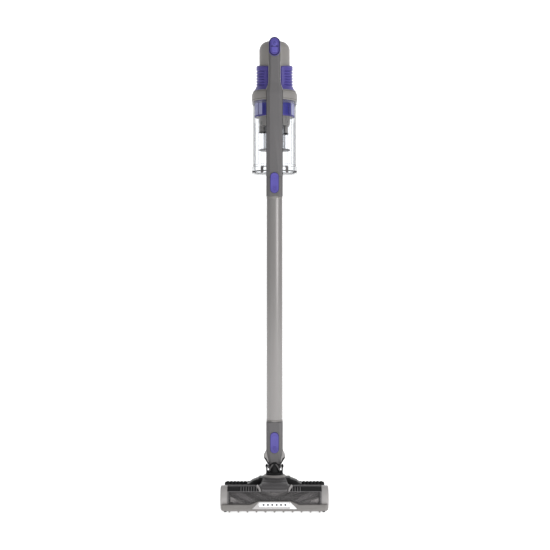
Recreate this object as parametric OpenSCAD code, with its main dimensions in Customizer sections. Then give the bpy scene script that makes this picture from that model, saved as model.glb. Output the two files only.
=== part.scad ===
// Cordless stick vacuum, upright in its parking position.
// Millimetres, +Z up, the front of the floor head faces -Y, the floor is z = 0.

/* [Overall] */
// Width of the floor head across its end caps
head_w = 260; // [230:1:320]
// Length of bare wand tube between its two collars
wand_len = 553; // [300:1:700]
// Outside diameter of the wand tube
wand_d = 39.6; // [38:0.1:42]
// Width of the spine and of both wand collars
spine_w = 40.5; // [40:0.1:46]
// Width of the hand grip bar
bar_w = 28; // [24:0.5:32]

/* [Hand vacuum] */
// Height of the clear cup from its rim to its top edge
cup_h = 179; // [165:1:230]
// Outside radius of the clear cup
cup_r = 55; // [54:0.5:57]
// Wall of the clear cup
cup_wall = 2; // [1.5:0.1:3]
// Outside radius of the motor dome
dome_r = 38.5; // [37:0.5:42]
// Rounding of the top of the motor dome
dome_corner = 22; // [12:1:30]
// Height of the motor dome above the flared collar
dome_h = 108; // [104:1:140]
// Height of the crown of the dome above the grip bar
dome_rise = 7; // [0:0.5:12]
// Outside radius of the ribbed side grips
grip_r = 46; // [44:0.5:50]
// Number of grooves in each side grip
groove_count = 6; // [3:1:7]
// Spacing of those grooves
groove_pitch = 7.5; // [6:0.1:8]
// Distance from the wand axis back to the motor axis
motor_back = 82; // [81:0.5:90]
// Radius of the electric motor
motor_r = 26; // [18:0.5:27]
// Distance the battery stands out behind the motor axis
battery_back = 60; // [58:0.5:80]
// Width of the battery pack
battery_w = 62; // [60:1:66]

/* [Wand] */
// Wall of the wand tube
wand_wall = 1.8; // [1:0.1:3]
// Length of the upper collar
top_collar_len = 47; // [44:1:60]
// Width of both release buttons
button_w = 21.6; // [16:0.2:24]
// Travel of both release buttons
button_travel = 2.5; // [1:0.1:2.5]

/* [Neck] */
// Height of the tilt pivot above the cover of the floor head
pivot_rise = 26; // [24:0.5:38]
// Length of the neck collar above the pivot
neck_len = 110; // [105:1:140]
// Half width of the shoulders of the neck
shoulder_x = 26.7; // [22:0.1:32]

/* [Floor head] */
// Radius of the brush chamber outside
chamber_r = 30; // [29:0.5:34]
// Radius over the bristles
bristle_r = 27; // [24:0.5:27]
// Radius of the brush core
core_r = 13; // [10:0.5:18]
// Radius of the rear wheels
wheel_r = 14; // [12:0.5:16]
// Radius of the front rollers
roller_r = 6; // [5:0.5:7]
// Number of headlight dots
led_count = 6; // [2:1:8]
// Number of comb teeth under the front edge
tooth_count = 11; // [5:2:13]

/* [Hidden] */

// Running gap between parts that move past each other
gap = 0.3;
// Widest overlap allowed to cut cleanly through a face
cut = 1;

// Heights that follow from the sizes above
head_front = -92;
head_rear = 48;
roll_y = head_front + chamber_r + 5;
roll_z = chamber_r + 1;
chamber_top = roll_z + chamber_r;
chamber_rear = roll_y + chamber_r;
deck_top = chamber_top - 7;
cover_top = chamber_top + 11;
pivot_z = cover_top + pivot_rise;
neck_top = pivot_z + neck_len;
tube_top = neck_top + wand_len;
joint_z = tube_top + top_collar_len;
cup_bottom = 20;
skirt = 2;
collar_z = cup_bottom + cup_h - skirt;
collar_h = 19;
flare_h = 18;
flare_low_h = 5;
dome_z = collar_z + collar_h + flare_low_h;
vac_top = collar_z + collar_h + flare_h + dome_h;
collar_r = cup_r + 2.5;
collar_in = cup_r + gap;
shell_t = 2.2;

// Floor head places, measured from the wand axis
cap_w = 17;
cap_in = head_w / 2 - cap_w;
body_x = cap_in - 0.2;
bumper_x = head_w / 2 - 2.5;
cheek_x = head_w / 2 - 6;
chamber_in = chamber_r - 1.8;
wheel_y = 29;
wheel_x = 86;
roller_y = -79;
roller_x = head_w / 2 - 12;
motor_y = chamber_rear + 19;
motor_z = roll_z - 4;
mouth_x = cap_in - 6;
mouth_y = chamber_r - 6;
window_rear = roll_y - 0.8 * chamber_r;
window_low = roll_z - 12;

// The part is centred front to back on its own bounding box
wand_y = -(motor_back + battery_back + head_front) / 2;

// Colours
grey_dark = [0.33, 0.32, 0.33];
grey_mid = [0.58, 0.56, 0.55];
grey_light = [0.72, 0.71, 0.70];
black = [0.10, 0.10, 0.11];
purple = [0.29, 0.26, 0.56];
clear = [0.80, 0.84, 0.86, 0.35];
metal = [0.75, 0.76, 0.78];
copper = [0.72, 0.45, 0.28];

module on_axis(z = 0) {
    translate([0, wand_y, z]) children();
}

module on_vac(z = 0) {
    translate([0, wand_y, joint_z + z]) children();
}

module on_motor(z = 0) {
    translate([0, wand_y + motor_back, joint_z + z]) children();
}

// Lays a drawing of (y, z) so that it runs along X, centred on x
module along_x(width, x = 0) {
    translate([x - width / 2, wand_y, 0])
        rotate([90, 0, 90])
            linear_extrude(width) children();
}

// Lays a drawing of (x, z) so that it runs back along Y from y
module along_y(depth, y, z = 0) {
    translate([0, wand_y + y + depth, z])
        rotate([90, 0, 0])
            linear_extrude(depth) children();
}

module ring(outer, inner, height) {
    difference() {
        cylinder(r = outer, h = height, $fn = 96);
        translate([0, 0, -cut]) cylinder(r = inner, h = height + 2 * cut, $fn = 96);
    }
}

module block(x, y, z, dx, dy, dz) {
    translate([x, y, z]) cube([dx, dy, dz]);
}

module mirrored_x() {
    children();
    mirror([1, 0, 0]) children();
}

// Flat drawing with two straight sides and round ends
module stadium(width, height) {
    union() {
        translate([-width / 2, width / 2]) square([width, height - width]);
        translate([0, width / 2]) circle(d = width, $fn = 64);
        translate([0, height - width / 2]) circle(d = width, $fn = 64);
    }
}

// Section of the spine and of the wand collar: a flat front with bevelled sides
module spine_section(half) {
    polygon([[-half * 0.57, -half], [half * 0.57, -half], [half, -half * 0.55], [half, half * 0.7],
        [half * 0.7, half], [-half * 0.7, half], [-half, half * 0.7], [-half, -half * 0.55]]);
}

// Half of an arch, turned about the motor axis to make the dome
module arch_half(radius, low, top, corner) {
    intersection() {
        union() {
            translate([0, low]) square([radius, top - corner - low]);
            translate([0, low]) square([radius - corner, top - low]);
            translate([radius - corner, top - corner]) circle(r = corner, $fn = 96);
        }
        translate([0, low]) square([radius + cut, top - low + cut]);
    }
}

module dome_solid(inset) {
    rotate_extrude($fn = 128)
        arch_half(dome_r - inset, dome_z - cut, vac_top + dome_rise - inset, dome_corner - inset);
}

// Release button seen from the front, with its thumb ring
module release_button(z, height) {
    half = spine_w / 2;
    ring_r = 7;
    union() {
        along_y(2.6, -half - 2.0, z) stadium(button_w, height);
        translate([0, wand_y - half - 2.0, z + ring_r + 4]) rotate([90, 0, 0]) ring(ring_r, ring_r - 1.2, 0.7);
    }
}

// Pocket that the release button sinks into
module button_pocket(z, height) {
    half = spine_w / 2;
    along_y(half, -half + 0.6 + button_travel - half, z - gap) stadium(button_w + 2 * gap, height + 2 * gap);
}

// ---- Floor head ----

module chamber_disc(radius) {
    translate([roll_y, roll_z]) circle(r = radius, $fn = 128);
}

module sole_plate() {
    color(black) difference() {
        on_axis() block(-body_x, head_front + 8, 3, 2 * body_x, head_rear - head_front - 10, 4);
        on_axis() block(-mouth_x, roll_y - mouth_y, 0, 2 * mouth_x, 2 * mouth_y, 10);
        on_axis() mirrored_x() block(wheel_x - 9, wheel_y - wheel_r - 2, 0, 18, 2 * wheel_r + 4, 10);
        on_axis() block(-44, -8.2, 0, 88, 10.4, 10);
    }
}

// Region in front of and above the joint line of the window
module window_cut() {
    translate([window_rear - 120, window_low]) square([120, 90]);
}

// Side view of the black rear body, split at the joint to the window
module head_profile() {
    difference() {
        union() {
            chamber_disc(chamber_r);
            polygon([[chamber_rear - 7, 7.2], [head_rear - 2, 7.2], [head_rear, 30],
                [head_rear - 3, deck_top - 6], [head_rear - 9, deck_top], [10, deck_top + 1],
                [chamber_rear - 13, deck_top + 1]]);
        }
        chamber_disc(chamber_in);
        polygon([[chamber_rear + 1, 7], [head_rear - 4, 7], [head_rear - 2.2, 30], [head_rear - 5, deck_top - 8],
            [head_rear - 10, deck_top - 2.4], [10, deck_top - 1.4], [chamber_rear - 1, deck_top - 1.4],
            [chamber_rear - 1, roll_z + 9], [chamber_rear + 1.4, roll_z - 11]]);
        window_cut();
        translate([-120, -20]) square([220, 27.2]);
    }
}

module head_shell() {
    scallop = 8.6;
    color(black) difference() {
        union() {
            along_x(2 * body_x) head_profile();
            on_axis() mirrored_x() difference() {
                block(wheel_x - 11, wheel_y - wheel_r - 4, 7.2, 22, 2 * wheel_r + 7, 27);
                block(wheel_x - 9, wheel_y - wheel_r - 2, 3, 18, 2 * wheel_r + 3, 29.2);
            }
            mirrored_x() along_x(cheek_x - body_x + 2, (cheek_x + body_x - 2) / 2) polygon([[18.5, 8], [head_rear - 3, 8],
                [head_rear - 0.5, 30], [head_rear - 3, deck_top - 6], [head_rear - 9, deck_top - 0.5],
                [24, deck_top - 8], [18.5, deck_top - 16]]);
        }
        on_axis() for (i = [-9 : 9]) translate([i * scallop * 1.3, head_rear + 2, 20])
            cylinder(r = 3, h = 60, $fn = 32);
        on_axis(40) cylinder(r = 15.2, h = 40, $fn = 96);
        on_axis() block(-22, chamber_rear - 3.5, 14, 44, 8, 24);
        on_axis(roll_z) mirrored_x() for (i = [0 : 7]) translate([40 + i * 6.2, roll_y, 0]) rotate([37, 0, 0])
            block(-1.3, -4, chamber_in - 3, 2.6, 8.5, 8);
    }
}

module brush_window() {
    color(clear) along_x(2 * body_x) intersection() {
        difference() {
            chamber_disc(chamber_r);
            chamber_disc(chamber_in);
        }
        window_cut();
    }
}

module center_cover() {
    half = 32;
    nose_r = chamber_r + 4.5;
    color(grey_dark) difference() {
        union() {
            along_x(2 * half) polygon(concat([[roll_y + (chamber_r - 1) * cos(142), roll_z + (chamber_r - 1) * sin(142)]],
                [for (a = [142 : -6.5 : 90]) [roll_y + nose_r * cos(a), roll_z + nose_r * sin(a)]],
                [[roll_y + 9, chamber_top + 5], [roll_y + 17, chamber_top + 5], [roll_y + 21, chamber_top + 7],
                [roll_y + 27, chamber_top + 7], [roll_y + 31, chamber_top + 9], [roll_y + 37, cover_top],
                [22, cover_top], [30, chamber_top + 5], [30, deck_top]]));
            along_x(2 * half + 12) polygon([[roll_y + 13, chamber_top - 5], [roll_y + 13, chamber_top + 2],
                [roll_y + 27, chamber_top + 5], [20, chamber_top + 5], [28, chamber_top - 1], [28, deck_top]]);
        }
        along_x(100) {
            chamber_disc(chamber_r);
            translate([roll_y - 3, 20]) square([140, deck_top + 1 - 20]);
        }
        along_x(2 * half - 6) polygon([[roll_y + 21, chamber_top - 4], [roll_y + 21, chamber_top + 2],
            [roll_y + 37, chamber_top + 6], [20, chamber_top + 6], [26, chamber_top + 1],
            [26, chamber_top - 4]]);
        on_axis(40) cylinder(r = 15.2, h = 80, $fn = 96);
    }
}

// Side view of an end cap: round nose over the brush, lower towards the back
module cap_profile() {
    union() {
        chamber_disc(chamber_r);
        polygon([[roll_y, roll_z - chamber_r + 2], [8, 3.2], [14, 8], [16, 24], [10, deck_top - 14],
            [-20, deck_top - 2],
            [roll_y, roll_z + chamber_r]]);
    }
}

module cap_hollow() {
    union() {
        chamber_disc(chamber_in);
        polygon([[roll_y, roll_z - chamber_in + 2], [7, 5.4], [12, 9], [13.6, 24],
            [8.6, deck_top - 16], [-20, deck_top - 4.6],
            [roll_y, roll_z + chamber_in]]);
    }
}

module end_cap(side) {
    color(grey_light) difference() {
        union() {
            difference() {
                along_x(cap_w, side * (cap_in + cap_w / 2)) cap_profile();
                along_x(cap_w - 2.4, side * (cap_in + cap_w / 2 - 1.4)) cap_hollow();
            }
            along_x(3.4, side * (cap_in + 1.9)) difference() {
                chamber_disc(chamber_r - 1);
                chamber_disc(9);
            }
            on_axis() translate([side * (roller_x + 0.5), 0, 0]) block(-5.3, roller_y - 8, 2.4, 10.6, 18, 12);
        }
        on_axis() translate([side * roller_x, 0, 0]) block(-3.8, roller_y - 9, -2, 7.6, 16, roller_r * 2 + 3.6);
        axle_pin(side * roller_x, roller_y, roller_r, 2, 30);
    }
}

module end_cap_left() {
    end_cap(-1);
}

module end_cap_right() {
    end_cap(1);
}

module front_bumper() {
    low = 4.4;
    high = 19.4;
    top = 28;
    face = head_front;
    color(grey_mid) difference() {
        union() {
            difference() {
                on_axis() block(-body_x, face, low, 2 * body_x, 12, high - low - 0.6);
                along_x(2 * head_w) chamber_disc(chamber_r);
            }
            difference() {
                along_y(14, face, 0) polygon([[-57, high - 1], [57, high - 1], [38, top], [-38, top]]);
                along_x(2 * head_w) chamber_disc(chamber_r);
            }
            on_axis() block(-bumper_x, face, low, 2 * bumper_x, 4.4, high - low - 0.6);
            on_axis() for (i = [0 : tooth_count - 1])
                block((i - (tooth_count - 1) / 2) * 21.5 - 2.2, face, 0.8, 4.4, 7.8, low - 0.8);
        }
        along_y(4, face - 1, 0) polygon([[-53, 9], [53, 9], [37, 26.6], [-37, 26.6]]);
        on_axis() block(-body_x - 1, face + 7.9, 2.9, 2 * body_x + 2, 8, 4.2);
        on_axis() mirrored_x() block(64, face - 1, 10, 34, 2, 2.4);
    }
}

module headlight_bezel() {
    color(metal) difference() {
        along_y(3, head_front, 0) polygon([[-53, 9], [53, 9], [37, 26.6], [-37, 26.6]]);
        along_y(6, head_front - 1, 0) polygon([[-37, 13.6], [37, 13.6], [35, 25], [-35, 25]]);
    }
}

module headlight_lens() {
    color([0.95, 0.95, 0.95]) difference() {
        along_y(2, head_front + 0.4, 0) polygon([[-37, 13.6], [37, 13.6], [35, 25], [-35, 25]]);
        on_axis(19.5) for (i = [0 : led_count - 1]) translate([(i - (led_count - 1) / 2) * 10.4, head_front, 0])
            rotate([-90, 0, 0]) cylinder(r = 2, h = 1.4, $fn = 32);
    }
}

module sole_strip() {
    color([0.2, 0.2, 0.2]) on_axis() block(-44, -8.2, 0, 88, 10.4, 7);
}

module suction_duct() {
    color(grey_mid) difference() {
        on_axis() union() {
            block(-22, chamber_rear + 1.6, 14, 44, 13 - chamber_rear, 24);
            translate([0, 0, 38]) cylinder(r = 15, h = cover_top - 49, $fn = 96);
        }
        on_axis() union() {
            block(-20, chamber_rear - 3, 16, 40, 15.6 - chamber_rear, 20);
            translate([0, 0, 30]) cylinder(r = 12.4, h = 60, $fn = 96);
        }
    }
}

// Turns a drawing made along Z so that it lies along X at the brush axis
module on_roll() {
    on_axis(roll_z) translate([0, roll_y, 0]) rotate([0, 90, 0]) children();
}

module brush_motor() {
    can_r = 13;
    color(metal) on_axis(motor_z) translate([-cap_in + 1, motor_y, 0]) rotate([0, 90, 0]) union() {
        cylinder(r = can_r, h = 52, $fn = 96);
        translate([0, 0, 52]) cylinder(r = 5, h = 3, $fn = 64);
        translate([0, 0, -1]) cylinder(r = 5, h = 1, $fn = 64);
    }
}

module motor_pulley() {
    color(grey_dark) on_axis(motor_z) translate([-cap_in - 13, motor_y, 0]) rotate([0, 90, 0]) union() {
        cylinder(r = 4.2, h = 9, $fn = 64);
        translate([0, 0, 9]) cylinder(r = 1.6, h = 2.7, $fn = 48);
    }
}

module belt_loop(extra) {
    hull() {
        translate([motor_y, motor_z]) circle(r = 4.2 + extra, $fn = 48);
        translate([roll_y, roll_z]) circle(r = 11.2 + extra, $fn = 48);
    }
}

module drive_belt() {
    color(black) along_x(7, -cap_in - 8.5) difference() {
        belt_loop(1.7);
        belt_loop(0.4);
    }
}

module brush_core() {
    reach = cap_in - 1;
    color(grey_dark) on_roll() union() {
        translate([0, 0, -reach]) cylinder(r = core_r, h = 2 * reach, $fn = 96);
        translate([0, 0, -cap_in - 13]) cylinder(r = 11.2, h = 9, $fn = 96);
        translate([0, 0, -cap_in - 4]) cylinder(r = 4, h = 5, $fn = 64);
        translate([0, 0, reach]) cylinder(r = 4, h = 9, $fn = 64);
    }
}

module brush_bristles() {
    rows = 4;
    reach = mouth_x - 1.6;
    color(purple) on_roll() for (i = [0 : rows - 1]) rotate([0, 0, i * 360 / rows]) translate([0, 0, -reach])
        linear_extrude(2 * reach, twist = 300, slices = 40)
            translate([core_r + 0.15, -1.6]) square([bristle_r - core_r - 0.4, 3.2]);
}

module brush_bearings() {
    color(metal) on_roll() {
        translate([0, 0, cap_in + 1]) ring(9, 4.3, 2.4);
        translate([0, 0, -cap_in - 3.4]) ring(9, 4.3, 2.4);
    }
}

module wheel_set(x, y, radius, width) {
    on_axis(radius) translate([x - width / 2, y, 0]) rotate([0, 90, 0]) difference() {
        cylinder(r = radius, h = width, $fn = 96);
        translate([0, 0, -cut]) cylinder(r = 2.1, h = width + 2 * cut, $fn = 48);
        if (radius > 8) translate([0, 0, -cut]) ring(radius - 4, 5, 3);
    }
}

module wheel_left() {
    color(black) wheel_set(-wheel_x, wheel_y, wheel_r, 12);
}

module wheel_right() {
    color(black) wheel_set(wheel_x, wheel_y, wheel_r, 12);
}

module roller_left() {
    color(grey_dark) wheel_set(-roller_x, roller_y, roller_r, 7);
}

module roller_right() {
    color(grey_dark) wheel_set(roller_x, roller_y, roller_r, 7);
}

module axle_pin(x, y, z, radius, length) {
    on_axis(z) translate([x - length / 2, y, 0]) rotate([0, 90, 0]) cylinder(r = radius, h = length, $fn = 48);
}

module wheel_axles() {
    color(metal) union() {
        axle_pin(-wheel_x, wheel_y, wheel_r, 2, 18);
        axle_pin(wheel_x, wheel_y, wheel_r, 2, 18);
        axle_pin(-roller_x, roller_y, roller_r, 2, 9);
        axle_pin(roller_x, roller_y, roller_r, 2, 9);
    }
}

module head_screws() {
    color(metal) on_axis(1.8) for (x = [-104, 104], y = [-14, 14]) translate([x, y, 0]) difference() {
        cylinder(r = 3.4, h = 1.2, $fn = 48);
        block(-2.4, -0.5, -1, 4.8, 1, 1.6);
        block(-0.5, -2.4, -1, 1, 4.8, 1.6);
    }
}

module neck_base() {
    color(grey_light) on_axis(cover_top) difference() {
        union() {
            cylinder(r = 28, h = 4, $fn = 96);
            translate([0, 0, 4]) cylinder(r = 25, h = 2, $fn = 96);
        }
        translate([0, 0, -cut]) cylinder(r = 15.2, h = 10, $fn = 96);
    }
}

// ---- Neck ----

module swivel_yoke() {
    base_z = cover_top + 6 + gap;
    ear_in = 17;
    ear_t = 3.6;
    color(black) difference() {
        union() {
            on_axis(base_z) cylinder(r = 22, h = 4.7, $fn = 96);
            on_axis(cover_top - 10) cylinder(r = 14.9, h = base_z - cover_top + 11, $fn = 96);
            for (side = [-1, 1]) {
                along_x(ear_t, side * (ear_in + ear_t / 2)) union() {
                    translate([0, pivot_z]) circle(r = 5.5, $fn = 64);
                    polygon([[-8, base_z + 4], [8, base_z + 4], [5.5, pivot_z], [-5.5, pivot_z]]);
                }
                axle_pin(side * (ear_in + ear_t + 0.8), 0, pivot_z, 4, 1.6);
            }
        }
        on_axis(cover_top - 12) cylinder(r = 12.4, h = 40, $fn = 96);
        axle_pin(0, 0, pivot_z, 2.5, 60);
    }
}

module yoke_pins() {
    color(metal) union() {
        for (side = [-1, 1]) axle_pin(side * 17.2, 0, pivot_z, 2.5, 8.4);
    }
}

module neck_hose() {
    low = cover_top + 8;
    high = pivot_z + 20;
    pitch = 3.2;
    rings = floor((high - low) / pitch);
    color(black) on_axis(low) difference() {
        union() {
            cylinder(r = 9.2, h = high - low, $fn = 64);
            cylinder(r = 12.4, h = 2.4, $fn = 64);
            for (i = [0 : rings - 1]) translate([0, 0, i * pitch + 0.7]) cylinder(r = 10.4, h = 1.6, $fn = 64);
        }
        translate([0, 0, -cut]) cylinder(r = 8.4, h = high - low + 2 * cut, $fn = 64);
    }
}

module neck_collar() {
    half = spine_w / 2;
    low = pivot_z + 6;
    wide_z = pivot_z + 24;
    narrow_z = pivot_z + 39;
    color(grey_dark) difference() {
        union() {
            on_axis(narrow_z - 4) linear_extrude(neck_top - narrow_z + 4) spine_section(half);
            intersection() {
                along_y(44, -22, 0) polygon([[-13.5, low], [-9, low + 3], [9, low + 3], [13.5, low],
                    [shoulder_x, wide_z], [half, narrow_z + 4], [-half, narrow_z + 4], [-shoulder_x, wide_z]]);
                along_x(80) polygon([[-10, low - 1], [10, low - 1], [18, wide_z], [half, narrow_z - 4],
                    [half, narrow_z + 4], [-half, narrow_z + 4], [-half, narrow_z - 4], [-18, wide_z]]);
            }
            for (side = [-1, 1]) along_x(4, side * 14.2) union() {
                translate([0, pivot_z]) circle(r = 6, $fn = 64);
                polygon([[-6, pivot_z], [6, pivot_z], [9, low + 6], [-9, low + 6]]);
            }
        }
        on_axis(pivot_z - 20) cylinder(r = 11.4, h = neck_len + 40, $fn = 96);
        on_axis(narrow_z) cylinder(r = 15.5, h = neck_len, $fn = 96);
        button_pocket(pivot_z + 34, 52);
        axle_pin(0, 0, pivot_z, 2.6, 60);
    }
}

module neck_plug() {
    color(grey_mid) on_axis(neck_top - 30) union() {
        ring(15.5, 13.7, 30);
        translate([0, 0, 30]) difference() {
            cylinder(r = wand_d / 2 - wand_wall - gap, h = 40, $fn = 96);
            translate([0, 0, -cut]) cylinder(r = 13.7, h = 50, $fn = 96);
        }
    }
}

module neck_button() {
    color(purple) release_button(pivot_z + 34, 52);
}

// ---- Wand ----

module wand_tube() {
    color(grey_mid) on_axis(neck_top) ring(wand_d / 2, wand_d / 2 - wand_wall, wand_len);
}

module wand_conduit() {
    inner = wand_d / 2 - wand_wall;
    color(black) on_axis(neck_top + 44) translate([0, inner - 2.5, 0]) ring(2.5, 1.7, wand_len - 58);
}

module wand_collar() {
    color(grey_dark) difference() {
        on_axis(tube_top) linear_extrude(top_collar_len) spine_section(spine_w / 2);
        on_axis(tube_top - cut) cylinder(r = 13.7, h = top_collar_len + 2 * cut, $fn = 96);
        button_pocket(tube_top + 7, 51);
    }
}

module wand_plug() {
    plug_r = 15.7;
    color(grey_mid) union() {
        on_axis(joint_z) ring(plug_r, 13.7, 38);
        on_axis(tube_top - 12) ring(wand_d / 2 - wand_wall, 13.7, 12);
    }
}

module wand_button() {
    color(purple) release_button(tube_top + 7, 51);
}

// ---- Spine and handle ----

bar_front = -16;
bar_rear = 13;

// Front view of the spine: wide beside the cup, narrow where the hand goes round it
module spine_front() {
    half = spine_w / 2;
    bar = bar_w / 2;
    polygon([[-half, 0], [half, 0], [half, collar_z + 6], [bar, collar_z + 33], [bar, vac_top - 14],
        [bar - 3, vac_top - 4], [bar - 8, vac_top], [8 - bar, vac_top], [3 - bar, vac_top - 4],
        [-bar, vac_top - 14], [-bar, collar_z + 33], [-half, collar_z + 6]]);
}

// Side view of the spine with its bridges to the motor housing
module spine_side() {
    half = spine_w / 2;
    difference() {
        polygon([[-half, 0], [-half, collar_z], [bar_front, collar_z + 38], [bar_front, vac_top - 10],
            [bar_front + 5, vac_top - 1], [bar_front + 9, vac_top], [motor_back, vac_top], [motor_back, collar_z],
            [half + 2, collar_z], [half, collar_z - 4], [half, 0]]);
        translate([bar_rear, collar_z + 34]) square([motor_back, vac_top - 22 - collar_z - 34]);
        polygon([[half + 2, collar_z + 19], [bar_rear, collar_z + 35], [motor_back + 1, collar_z + 35],
            [motor_back + 1, collar_z + 19]]);
    }
}

module collar_solid() {
    mid_r = collar_r - (collar_r - grip_r) * flare_low_h / flare_h;
    rotate_extrude($fn = 128) polygon([[0, collar_z], [collar_r, collar_z], [collar_r, collar_z + collar_h],
        [mid_r, dome_z], [0, dome_z]]);
}

module spine_shell() {
    half = spine_w / 2;
    color(grey_dark) difference() {
        intersection() {
            translate([0, 0, joint_z]) along_y(motor_back + half + 2, -half - 1, 0) spine_front();
            translate([0, 0, joint_z]) along_x(spine_w + 2) spine_side();
            on_vac() union() {
                linear_extrude(collar_z + 20) spine_section(half);
                block(-half, -half, collar_z, 2 * half, motor_back + half, 40);
                translate([0, 0, collar_z + 20]) linear_extrude(vac_top - collar_z - 20) polygon([[-9, bar_front - 6],
                    [9, bar_front - 6], [bar_w / 2 + 8, bar_front + 10], [bar_w / 2 + 8, motor_back],
                    [-bar_w / 2 - 8, motor_back], [-bar_w / 2 - 8, bar_front + 10]]);
            }
        }
        on_motor() dome_solid(0);
        on_motor() collar_solid();
        on_vac(-cut) cylinder(r = 16, h = 153, $fn = 96);
        on_vac() block(-12, 0, 122, 24, half + cut, 24);
        on_vac() block(-9, bar_front + 4, 170, 18, 20, vac_top - 8 - 170);
        button_pocket(tube_top + 7, 51);
        on_vac() block(-8, bar_rear - 3, collar_z + 42, 16, 4, 72);
        translate([0, 0, joint_z]) along_y(3 + cut, bar_front - cut, vac_top - 45 - gap) stadium(16, 38);
    }
}

// Soft pad let into the back of the hand grip
module grip_pad() {
    color(black) on_vac() difference() {
        block(-8, bar_rear - 3, collar_z + 42, 16, 4.2, 72);
        for (i = [0 : 10]) block(-9, bar_rear + 0.6, collar_z + 46 + i * 6.2, 18, 1, 2);
    }
}

module button_plate() {
    color(purple) translate([0, 0, joint_z]) difference() {
        along_y(2.6, bar_front - 2.6, vac_top - 45) stadium(26, 46);
        along_y(6, bar_front - 4, vac_top - 45) union() {
            translate([0, 30]) circle(r = 7.4, $fn = 64);
            translate([-7.4, 8]) square([14.8, 13.6]);
        }
    }
}

module press_button(center, is_round) {
    color(purple) translate([0, 0, joint_z]) along_y(5, bar_front - 4, vac_top - 45)
        if (is_round) translate([0, center]) circle(r = 7.1, $fn = 64);
        else translate([-7.1, center - 6.5]) square([14.2, 13]);
}

module power_button() {
    press_button(30, true);
}

module boost_button() {
    press_button(14.8, false);
}

// ---- Motor housing ----

module motor_housing() {
    floor_z = collar_z + skirt;
    color(grey_mid) difference() {
        on_motor() union() {
            difference() {
                union() {
                    collar_solid();
                    dome_solid(0);
                }
                translate([0, 0, collar_z - cut]) cylinder(r = collar_in, h = skirt + cut, $fn = 128);
                translate([0, 0, floor_z + 3]) cylinder(r = collar_r - 6, h = dome_z - floor_z - 5.2, $fn = 128);
                rotate_extrude($fn = 128)
                    arch_half(dome_r - shell_t, dome_z - 6, vac_top + dome_rise - shell_t,
                        dome_corner - shell_t);
                translate([0, 0, floor_z - cut]) cylinder(r = 24, h = 6, $fn = 96);
                translate([-60, motor_r + 5, dome_z]) cube([120, 60, vac_top - 48 - dome_z]);
            }
            intersection() {
                dome_solid(0);
                translate([-60, motor_r + 2.8, dome_z]) cube([120, shell_t, vac_top - 46 - dome_z]);
            }
            intersection() {
                dome_solid(0);
                translate([-60, motor_r + 2.8, vac_top - 48]) cube([120, 40, shell_t]);
            }
        }
        on_motor() for (i = [-3 : 3]) translate([0, 0, vac_top - 34]) rotate([0, 0, 90 + i * 14])
            block(dome_r - 8, -1.4, 0, 16, 2.8, 14);
        on_motor() block(-9 - gap, collar_r - 5.5, collar_z + 4 - gap, 18 + 2 * gap, 10, 10 + 2 * gap);
    }
}

module grip_side(side) {
    skirt_r = collar_r - (collar_r - grip_r) * flare_low_h / flare_h;
    grip_top = collar_z + 92;
    color(purple) on_motor() difference() {
        intersection() {
            rotate_extrude($fn = 128) polygon([[dome_r, dome_z], [skirt_r, dome_z], [grip_r, dome_z + 13],
                [grip_r, grip_top - 4], [grip_r - 3, grip_top], [dome_r, grip_top]]);
            block(side > 0 ? 16 : -76, -70, dome_z - 1, 60, 96, 90);
        }
        intersection() {
            for (i = [0 : groove_count - 1]) translate([0, 0, grip_top - 16 - i * groove_pitch])
                ring(grip_r + 4, grip_r - 2.4, 3);
            block(side > 0 ? 26 : -86, -80, dome_z, 60, 110, 90);
        }
    }
}

module grip_left() {
    grip_side(-1);
}

module grip_right() {
    grip_side(1);
}

module motor_can() {
    color(metal) on_motor(collar_z + 50) union() {
        cylinder(r = motor_r, h = 52, $fn = 96);
        translate([0, 0, 52]) cylinder(r = 6, h = 5, $fn = 64);
        translate([0, 0, -3]) cylinder(r = 22, h = 3, $fn = 96);
    }
}

module impeller() {
    blades = 9;
    color(metal) on_motor(collar_z + 31) union() {
        cylinder(r = 27, h = 1.6, $fn = 96);
        cylinder(r = 7, h = 14, $fn = 64);
        for (i = [0 : blades - 1]) rotate([0, 0, i * 360 / blades]) translate([6.5, 0, 1.6])
            rotate([0, 0, 24]) cube([19, 1.2, 9]);
    }
}

module control_board() {
    color([0.1, 0.35, 0.2]) on_vac() block(-8.5, -8, vac_top - 60, 17, 1.6, 50);
}

module exhaust_filter() {
    color([0.85, 0.85, 0.82]) on_motor(vac_top - 30) difference() {
        cylinder(r = 26, h = 10, $fn = 96);
        translate([0, 0, -cut]) cylinder(r = 8, h = 12, $fn = 64);
    }
}

module motor_filter() {
    color([0.25, 0.25, 0.6]) on_motor(collar_z + skirt + 3.2) cylinder(r = collar_r - 7.5, h = 10, $fn = 96);
}

// ---- Cyclone ----

module mesh_shroud() {
    top = collar_z + skirt;
    low = top - 41;
    slots = 20;
    color(purple) on_motor(low) difference() {
        union() {
            ring(50, 48.8, 41);
            cylinder(r = 50, h = 1.6, $fn = 96);
        }
        translate([0, 0, -cut]) cylinder(r = 26, h = 5, $fn = 96);
        for (i = [0 : slots - 1]) rotate([0, 0, (i + 0.5) * 360 / slots]) block(46, -4.5, 6, 8, 9, 29);
    }
}

module cyclone_cone() {
    top = collar_z + skirt - 41;
    cone_h = 22;
    color(grey_mid) on_motor() difference() {
        union() {
            translate([0, 0, top - cone_h]) cylinder(r1 = 38, r2 = 40, h = cone_h, $fn = 96);
            translate([-30, 0, top - 39]) cylinder(r = 9, h = 20, $fn = 64);
            translate([28, 0, top - 43]) cylinder(r = 6, h = 24, $fn = 64);
        }
        translate([0, 0, top - cone_h - cut]) cylinder(r = 18, h = cone_h + 2 * cut, $fn = 96);
        translate([28, 0, top - 45]) cylinder(r = 4.6, h = 50, $fn = 64);
    }
}

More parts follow.
